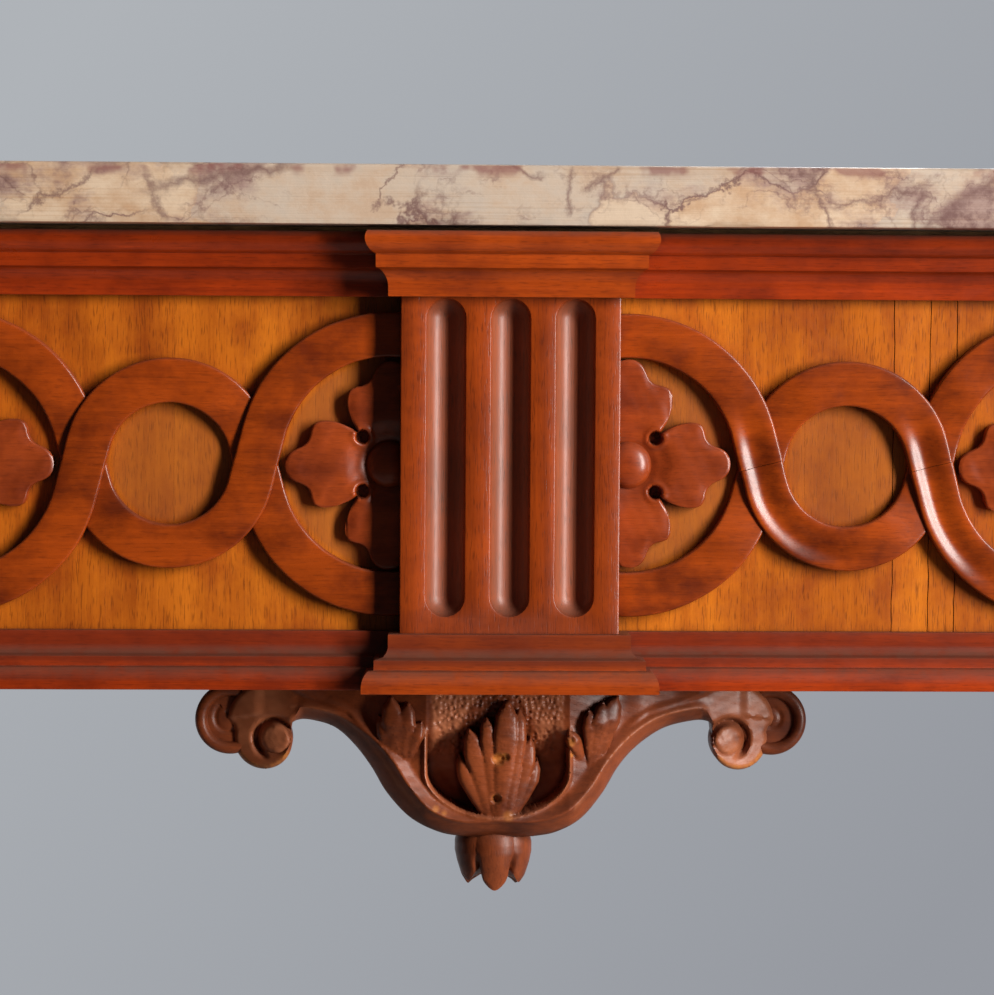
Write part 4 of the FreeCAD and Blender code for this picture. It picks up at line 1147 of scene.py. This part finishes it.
def stipple(points, seed):
    # punched dots on the pocket's ground and on the eyes
    draw = np.random.default_rng(seed)
    spots = [(x, z) for x in np.arange(-28, 28, 2.0) for z in np.arange(-32, 0, 2.0)]
    eyeX, eyeZ = np.arange(83, 97, 2.0), np.arange(-26, -12, 2.0)
    spots += [(side * x, z) for side in (-1, 1) for x in eyeX for z in eyeZ]
    dots = np.array(spots) + draw.uniform(-0.75, 0.75, (len(spots), 2))
    size = draw.uniform(0.3, 1.0, len(dots))
    gap, index = nearest(points, dots)
    return size[index] * bell(gap, 0.85)


def flankWidth(place):
    across, look = np.abs(place), pendantLook
    wide = look["flank"] + 1.2 * ramp(across, 48, -30) - 3.9 * ramp(across, *look["inScroll"])
    return wide + 3.2 * bell(place + 42, 15)


def pendantDepth(points):
    look, place, drop = pendantLook, points[:, 0], points[:, 1]
    across = np.abs(place)
    mirrored = np.column_stack([across, drop])
    edgeGap, spurGap = nearest(mirrored, pendantEdge)[0], nearest(mirrored, pendantSpur)[0]
    # front with a crisp arris and a sloping flank under it
    inScroll, flank = ramp(across, *look["inScroll"]), flankWidth(place)
    into = np.clip(1 - edgeGap / flank, 0, 1)
    depth = look["flankDepth"] * (1 - 0.7 * inScroll) * into * (0.75 + 0.25 * into**3)
    depth -= 0.6 * bell(edgeGap - flank - 0.5, 0.9) * (1 - inScroll)
    depth += look["channel"] * ramp(edgeGap - flank, 0.5, 5.5) * ramp(across, 84, -16)
    layer = np.interp(across, *zip(*look["layer"]))
    depth -= 1.5 * ramp(drop - layer, -0.9, 1.8) * ramp(across, 48, 9) * (across < 86)
    depth -= look["bow"] * ramp(across, 64, -34)
    turnOut = look["turnOut"][0] * np.clip(across - 28, 0, 50)
    depth += turnOut + look["turnOut"][1] * np.maximum(0, across - 78)
    # scroll: the ditch runs over the eye and round its outer side
    eyeX, eyeZ = across - look["eye"][0], drop - look["eye"][1]
    eyeTurn, eyeOff = np.degrees(np.arctan2(eyeZ, eyeX)), np.hypot(eyeX, eyeZ)
    eyeGap = eyeOff - look["eyeRadius"]
    ditch = bell(eyeGap - 1.5 - 0.004 * (60 - eyeTurn), look["groove"])
    ditch *= ramp(eyeTurn, -75, 40) * ramp(eyeTurn, 178, -40)
    depth += (4.6 * ditch + 0.8 * ramp(eyeGap, -0.9, 0.9) * ramp(eyeGap, 0.9, -0.9)) * inScroll
    eyeRise = 0.35 * stipple(points, 6) - 0.6 * (1 - (eyeOff / look["eyeRadius"]) ** 2)
    depth += inScroll * (eyeGap < 0) * eyeRise + roundOver(spurGap, 2.0) * (across > look["topHalf"])
    depth -= 1.2 * ramp(drop + (across - 107) * 0.16, -15.6, 0.9) * ramp(across, 94, 5)
    # pocket, rim and ground
    gap = pocketGap(points)
    depth -= 1.2 * bell(gap - 0.8, 0.75) * ramp(drop, -14, -6)
    ground = look["pocketDepth"] - 14.5 * ramp(drop, -35, 25) - look["bow"] - 1.5 * bell(gap + 1, 3)
    ground += (depth + 0.1 - ground) * ramp(drop, -23, 9) * ramp(gap, -7.5, 6.5)
    depth = np.where(gap < -0.3, ground, depth)
    rough = (drop > -30) & (gap < -0.6)
    depth[rough] += 1.2 * stipple(points[rough], 5) * ramp(drop[rough], -30, 6) * ramp(gap[rough], 0, -5)
    # leaves and the chips on them
    for lobes, cover, out in ((centreLobes, gap < 1.5, look["leafOut"]),
                              (leftLobes, place < 0, look["sideOut"]),
                              (rightLobes, place >= 0, look["sideOut"])):
        for lobe in lobes:
            spine, width, front = lobeShape(lobe)
            off, index = nearest(points, spine)
            share = off / width[index]
            crown = front[index] - out + 0.8 * share**2 + 1.7 * share**8 + turnOut
            depth = np.where((share < 1) & cover, np.minimum(depth, crown), depth)
    for x, z, size, deep in look["chips"]:
        depth += deep * bell(np.hypot(place - x, drop - z), size, 4)
    return depth + 0.13 * waver(place + 3 * drop, 71) + 0.1 * waver(drop * 2 - place, 72)


def rawWood(points):
    # broken places where pale wood shows
    look, raw = pendantLook, np.zeros(len(points))
    draw = np.random.default_rng(21)
    spots, reach = list(look["broken"]), look["scrollRadius"] - 0.9
    for turn in np.radians(np.arange(208, 324, 5)):
        x, z = look["scroll"][0] + reach * math.cos(turn), look["scroll"][1] + reach * math.sin(turn)
        spots += [(side * x, z, draw.uniform(0.5, 1.5), draw.uniform(0.1, 0.8)) for side in (-1, 1)]
    for x, z, size, much in spots:
        raw = np.maximum(raw, much * bell(np.hypot(points[:, 0] - x, points[:, 1] - z), size, 4))
    return raw


def wornWoodAndLight(points):
    # handled places where the finish has gone thin and greyish, the dusty pocket ground with painted light in
    # its shade, and painted highlights along the arris and the pocket rim
    look, place, drop = pendantLook, points[:, 0], points[:, 1]
    across, gap = np.abs(place), pocketGap(points)
    edgeGap, _ = nearest(np.column_stack([across, drop]), pendantEdge)
    eyeOff = np.hypot(across - look["eye"][0], drop - look["eye"][1])
    worn = 0.55 * ramp(across, 78, 14) + 0.35 * (eyeOff < look["eyeRadius"])
    # painted highlights: lighter lines along the arris and along the pocket rim
    worn += 0.4 * bell(edgeGap - look["flank"] - 0.6, 0.7) * (across > 30) * (across < 84)
    worn += 0.5 * bell(gap - 0.7, 0.7) * (drop < -16)
    # the pocket ground is lightened: dust, and painted light in the pocket's shade
    leafOff = ramp(np.hypot(place / 17, (drop + 30) / 29), 0.95, 0.1)
    worn += 0.8 * leafOff * ramp(gap, -1, -2) * ramp(drop, -50, 9)
    patch = 0.75 + 0.25 * waver(place * 2.3 + drop * 1.7, 33) + 0.25 * waver(drop * 3.1 - place, 34)
    return np.clip(worn * patch, 0, 1)


def within(points, loop):
    # which points lie inside a closed outline
    odd = np.zeros(len(points), bool)
    for (ax, az), (bx, bz) in zip(loop, np.roll(loop, -1, axis=0)):
        if az != bz:
            odd ^= ((az > points[:, 1]) != (bz > points[:, 1])) & (
                points[:, 0] < ax + (points[:, 1] - az) * (bx - ax) / (bz - az))
    return odd


def pendantOutline():
    half, reach = np.concatenate([pendantEdge[1:], pendantSpur]), pendantLook["topHalf"]
    top = np.column_stack([np.arange(reach, -reach - 0.5, -1.0), np.zeros(2 * reach + 1)])
    return np.concatenate([pendantEdge[:1], half, top, (half * (-1, 1))[::-1]])


def pendantLines():
    # points on the creases, so that the mesh follows them
    look = pendantLook
    lobes = centreLobes + leftLobes + rightLobes
    lines = [lobeOutline(lobe, off) for lobe in lobes for off in look["lobeLines"]]
    low = np.linspace(-np.pi / 2, 0, 30)
    for size in look["pocketLines"]:
        wide, deep = look["pocket"] + size, look["pocketDrop"] + size
        arc = np.column_stack([wide * np.cos(low), look["pocketLow"] + deep * np.sin(low)])
        heights = np.linspace(look["pocketLow"] + 0.8, look["pocketTop"], 44)
        wall = np.column_stack([np.full(44, wide), heights])
        lines += [arc, arc * (-1, 1), wall, wall * (-1, 1)]
    for size in look["eyeLines"]:
        circle = ring(look["eye"], look["eyeRadius"] + size, fullTurn(48), 0)[:, :2]
        lines += [circle, circle * (-1, 1)]
    inward = leftOf(pendantEdge)
    for size in look["arrisLines"]:
        for hand in (-1, 1):
            arris = pendantEdge + inward * (flankWidth(hand * pendantEdge[:, 0]) + size)[:, None]
            lines.append(arris[pendantEdge[:, 0] < 77] * (hand, 1))
    return np.concatenate(lines)


def pendantBody():
    look, step, outline, marks = pendantLook, pendantLook["step"], pendantOutline(), pendantLines()
    gridRows = int(60 / (step * 0.87))
    grid = np.array([(x + (row % 2) * step / 2, -row * step * 0.87 - 0.4) for row in range(gridRows)
                     for x in np.arange(-109, 109, step)])
    fine = np.array([(x, z) for x in np.arange(-27, 27, 0.5) for z in np.arange(-29, -0.3, 0.5)])
    fine = fine + np.random.default_rng(9).uniform(-0.12, 0.12, fine.shape)
    field = np.concatenate([grid, fine])
    inner = np.concatenate([marks, field[nearest(field, np.concatenate([outline, marks]))[0] > 0.33]])
    inner = inner[(nearest(inner, outline)[0] > 0.3) & (inner[:, 1] < -0.25) & within(inner, outline)]
    flat = [Vector(p) for p in np.concatenate([outline, inner])]
    found = delaunay_2d_cdt(flat, [], [list(range(len(outline)))], 1, 1e-4, False)
    points, faces = np.array([tuple(p) for p in found[0]]), np.array([list(f) for f in found[2]])
    faces = faces[within(points[faces].mean(axis=1), outline)].tolist()
    # the open edge, walked round once
    edges = dict.fromkeys((a, b) for face in faces for a, b in zip(face, face[1:] + face[:1]))
    follow = {a: b for a, b in edges if (b, a) not in edges}
    loop = [next(iter(follow))]
    while follow[loop[-1]] != loop[0]:
        loop.append(follow[loop[-1]])
    place = points[:, 0] + look["middle"] + look["armShift"] * ramp(np.abs(points[:, 0]), 50, 30)
    place -= 2.0 * bell(points[:, 0] + 44, 13)
    solid = np.column_stack([place, look["front"] + pendantDepth(points), pendantHigh[2] + points[:, 1]])
    back = solid[loop]
    back[:, 1] = look["front"] + look["depth"]
    start, count = len(solid), len(loop)
    faces += [[loop[(n + 1) % count], loop[n], start + n, start + (n + 1) % count] for n in range(count)]
    faces.append(list(range(start, start + count)))
    none = np.zeros(count)
    shades = {"raw": np.concatenate([rawWood(points), none]),
              "worn": np.concatenate([wornWoodAndLight(points), none])}
    return (np.concatenate([solid, back]), faces), shades


def backCurl(side):
    look, tubeSize, count = pendantLook, pendantLook["curlTube"], pendantLook["curlTurns"]
    turns, outer = fullTurn(count), look["curlRadius"]
    swirl = ((turns * side + 2.2) % (2 * np.pi)) / (2 * np.pi)
    inner = np.concatenate([[0.05], np.linspace(0.6, outer - 2 * tubeSize - 0.2, 16)])
    rows = [(r, 2.6 + 0.7 * bell(r - 2.2 - 4.4 * swirl, 0.9)) for r in inner]
    rows += [(outer - tubeSize - tubeSize * math.cos(a), tubeSize * (1 - math.sin(a)))
             for a in np.radians(np.arange(6, 181, 12))]
    rows.append((outer, look["depth"] - look["curlFront"]))
    x, y = look["middle"] + look["armShift"] + side * look["curl"][0], look["front"] + look["curlFront"]
    rings = []
    for r, deep in rows:
        rise = np.minimum(look["curl"][1] + r * np.sin(turns), -0.3)
        place = [x + r * np.cos(turns), y + deep * np.ones(count), pendantHigh[2] + rise]
        rings.append(np.column_stack(place))
    return tube(rings)


body, shades = pendantBody()
curls = [backCurl(-1), backCurl(1)]
plain = np.zeros(sum(len(curl[0]) for curl in curls))
piece("pendant_carved", [body] + curls, woodMaterial("pendant"), ["pendant_bracket"],
      sharp=46.0, marks=[(label, np.concatenate([values, plain])) for label, values in shades.items()])
print("pendant made")


# drop under the pendant
dropLook = {"petals": 6, "phase": 2.0, "shift": -1.2, "rise": 3.4, "turns": 216, "groove": 2.2, "notch": 6.2,
            "hollow": 9.0, "inset": 0.3, "rows": 30, "crease": 0.14, "creaseRun": (0.36, 0.24),
            "belly": 0.045, "lip": 0.5, "lipRun": (0.93, 0.07), "lift": (1.4, 4.0, 2.0, 1.5, 2.0, 5.0),
            "inner": (0.15, 0.35, 0.6, 0.85, 0.995),
            "line": [(0, 0.72), (0.06, 0.86), (0.14, 0.95), (0.26, 1.0), (0.4, 1.0), (0.56, 0.94),
                     (0.72, 0.85), (0.88, 0.75), (1.0, 0.68)]}


def carvedDrop():
    look = dropLook
    middle = (dropLow + dropHigh) / 2 + (look["shift"], 0, 0)
    radius = (dropHigh[0] - dropLow[0]) / 2 - look["inset"]
    top, low = pendantLow[2] + look["rise"], dropLow[2]
    turns, wide = fullTurn(look["turns"]), 360 / look["petals"]
    turned = np.degrees(turns) + 90 - look["phase"] + wide / 2
    share = np.abs((turned % wide - wide / 2) / (wide / 2))
    lift = np.array(look["lift"])[(turned // wide).astype(int) % look["petals"]]
    edge = low + lift + look["notch"] * share**1.8
    rings = []
    for s in np.linspace(0, 1, look["rows"]):
        z = top + (edge - top) * s
        fall = (top - z) / (top - low)
        crease = bell(1 - share, look["crease"]) * ramp(fall, *look["creaseRun"])
        r = radius * np.interp(fall, *zip(*look["line"]))
        r = r * (1 - look["belly"] + look["belly"] * (1 - share**2))
        r = r - look["groove"] * crease - look["lip"] * ramp(s, *look["lipRun"])
        rings.append(ring(middle, r, turns, z))
    for t in look["inner"]:
        rings.append(ring(middle, r * (1 - t) + 0.03, turns, edge + (low + look["hollow"] - edge) * t + 0.4))
    return tube(rings)


piece("pendant_drop_carved", [carvedDrop()], woodMaterial("pendant", "Z"), ["pendant_drop"],
      sharp=48.0)
print("drop made")


# marble slab
slabLook = {"step": 5.0, "chips": 70, "chipDepth": 1.3, "chipWidth": (3, 13), "chipForce": (0.15, 1.0),
            "wear": {"low": 1.0, "high": 0.45}}


def slabChips(along, perimeter, draw):
    # how much of the arris is gone along the edge
    look, worn = slabLook, np.zeros(len(along))
    for _ in range(look["chips"]):
        at, width = draw.uniform(0, perimeter), draw.uniform(*look["chipWidth"])
        deep = draw.uniform(*look["chipForce"]) ** 2
        off = np.abs((along - at + perimeter / 2) % perimeter - perimeter / 2)
        worn = np.maximum(worn, deep * look["chipDepth"] * np.maximum(0, 1 - (off / width) ** 2))
    return worn


def marbleSlab():
    look = slabLook
    (x0, y0, z0), (x1, y1, z1) = slabLow, slabHigh
    corners = np.array([(x0, y0), (x1, y0), (x1, y1), (x0, y1)])
    middle, half = (corners[0] + corners[2]) / 2, (corners[2] - corners[0]) / 2
    draw, spots = np.random.default_rng(12), []
    for a, b in zip(corners, np.roll(corners, -1, axis=0)):
        count = int(np.linalg.norm(b - a) / look["step"])
        spots += [a + (b - a) * t / count for t in range(count)]
    spots, along = np.array(spots), np.arange(len(spots)) * look["step"]
    perimeter = len(spots) * look["step"]
    chips = {level: wear * slabChips(along, perimeter, draw) for level, wear in look["wear"].items()}
    chips[None] = np.zeros(len(spots))
    # inset, height, which chips, and how far they cut in and up or down
    loops = [(9.0, z0, None, 0, 0), (0.7, z0, "low", 0.9, 0), (0.18, z0 + 0.22, "low", 0.9, 0.8),
             (0.0, z0 + 0.9, "low", 0.55, 0.8), (0.0, z0 + 3.0, None, 0, 0), (0.0, z0 + 11.0, None, 0, 0),
             (0.0, z1 - 3.0, None, 0, 0), (0.0, z1 - 1.3, "high", 0.55, -0.8),
             (0.3, z1 - 0.4, "high", 0.9, -0.8), (1.2, z1, "high", 0.9, 0), (9.0, z1, None, 0, 0)]
    rings = []
    for inset, z, level, cutIn, cutUp in loops:
        scale = (half - inset - cutIn * chips[level][:, None]) / half
        rings.append(np.column_stack([middle + (spots - middle) * scale, z + cutUp * chips[level]]))
    return tube(rings)


piece("marble_slab", [marbleSlab()], marble, ["marble_top"], body="top", sharp=45.0)
print("marble slab made")


# stage, light and camera
stageLook = {"backdrop": (175, 179, 184), "backdropShade": (150, 153, 160), "slant": (-0.16, 0.3),
             "slantTurn": -0.8, "floor": (206, 206, 204), "floorRadius": 1.9, "floorSides": 96,
             "fadeStart": 0.9, "floorRough": 0.9,
             "floorMottle": dict(scale=30.0, detail=4.0), "mottleGain": 0.96, "floorBounce": (120, 120, 118),
             "roomLight": 0.028, "roomTint": (1.0, 0.985, 0.97, 1.0), "behind": (0.0, 0.35)}


def makeFloor():
    look = stageLook
    mesh = bpy.data.meshes.new("floor")
    points = ring((0, 0), look["floorRadius"], fullTurn(look["floorSides"]), 0.0)
    mesh.from_pydata(points.tolist(), [], [list(range(len(points)))])
    floor = addObject("floor", mesh)
    material, g, shader = bareMaterial("paleFloor")
    place, pale = g.place(), srgb(*look["floor"])
    shown = g.mix(g.noise(place, **look["floorMottle"]), pale, scaled(pale, look["mottleGain"]))
    seen = g.node("LightPath").outputs["Is Camera Ray"]
    tone = g.mix(seen, srgb(*look["floorBounce"]), shown)
    g.fill(shader, {"Base Color": tone, "Roughness": look["floorRough"]})
    away = g.node("VectorMath", {0: place}, operation="LENGTH").outputs["Value"]
    fade, clear = g.spread(away, look["fadeStart"], look["floorRadius"]), g.node("BsdfTransparent")
    blend = g.node("MixShader", {0: fade, 1: shader.outputs[0], 2: clear.outputs[0]})
    g.plug(g.tree.nodes["Material Output"].inputs["Surface"], blend.outputs[0])
    mesh.materials.append(material)


def makeWorld():
    look = stageLook
    world = bpy.data.worlds.new("studio")
    bpy.context.scene.world = world
    world.use_nodes = True
    world.node_tree.nodes.clear()
    g = Graph(world.node_tree)
    way, path = g.parts(g.node("TexCoord").outputs["Generated"]), g.node("LightPath").outputs
    room = g.node("Background", {"Color": look["roomTint"], "Strength": look["roomLight"]})
    slant = g.spread(g.plus(way["X"], g.times(way["Z"], look["slantTurn"])), *look["slant"])
    shade = g.mix(slant, srgb(*look["backdrop"]), srgb(*look["backdropShade"]))
    back = g.node("Background", {"Color": shade})
    # gloss shows the backdrop behind the table; the room in front of it is dim
    behind = g.times(path["Is Glossy Ray"], g.spread(way["Y"], *look["behind"]))
    seen = g.most(path["Is Camera Ray"], path["Is Transmission Ray"])
    pick = g.node("MixShader", {0: g.most(seen, behind), 1: room.outputs[0], 2: back.outputs[0]})
    g.node("OutputWorld", {0: pick.outputs[0]})


lamps = {
    "key": dict(target=(0.02, -0.25, 0.76), turn=50.0, lift=12.0, distance=2.6, size=(0.52, 2.0), power=125.0,
                color=(1.0, 0.97, 0.93)),
    "backRight": dict(target=(0.0, 0.0, 0.5), turn=150.0, lift=34.0, distance=3.0, size=(1.6, 1.6),
                      power=60.0, color=(0.97, 0.98, 1.0)),
    "backLeft": dict(target=(0.0, 0.0, 0.5), turn=-112.0, lift=24.0, distance=3.0, size=(1.4, 1.4),
                     power=60.0, color=(1.0, 0.98, 0.96)),
}


def makeLamps():
    for name, look in lamps.items():
        data = bpy.data.lights.new(name, "AREA")
        data.shape = "RECTANGLE"
        data.size, data.size_y = look["size"]
        data.energy = look["power"]
        data.color = look["color"]
        lamp = addObject(name, data)
        turn, lift = math.radians(look["turn"]), math.radians(look["lift"])
        away = Vector((math.sin(turn) * math.cos(lift), -math.cos(turn) * math.cos(lift), math.sin(lift)))
        lamp.location = Vector(look["target"]) + away * look["distance"]
        lamp.rotation_euler = (-away).to_track_quat("-Z", "Y").to_euler()


# focal length in pixels of a picture this wide
cameraLook = {"place": (-0.0509, -1.5524, 0.8130), "yaw": 2.02, "pitch": -2.66, "roll": 0.36, "focal": 3370.3,
              "pixels": 994, "sensor": 36.0}


def makeCamera():
    look = cameraLook
    yaw, pitch, roll = (math.radians(look[key]) for key in ("yaw", "pitch", "roll"))
    ahead = Vector((math.sin(yaw) * math.cos(pitch), math.cos(yaw) * math.cos(pitch), math.sin(pitch)))
    right = Vector((math.cos(yaw), -math.sin(yaw), 0.0))
    up = right.cross(ahead)
    tiltedRight = right * math.cos(roll) + up * math.sin(roll)
    tiltedUp = up * math.cos(roll) - right * math.sin(roll)
    data = bpy.data.cameras.new("camera")
    data.sensor_fit = "HORIZONTAL"
    data.sensor_width = look["sensor"]
    data.lens = look["focal"] * look["sensor"] / look["pixels"]
    camera = addObject("camera", data)
    turned = Matrix((tiltedRight, tiltedUp, -ahead)).transposed().to_4x4()
    camera.matrix_world = Matrix.Translation(look["place"]) @ turned
    bpy.context.scene.camera = camera


makeFloor()
makeWorld()
makeLamps()
makeCamera()
bpy.context.scene.view_settings.view_transform = "Standard"
print("stage, light and camera set")
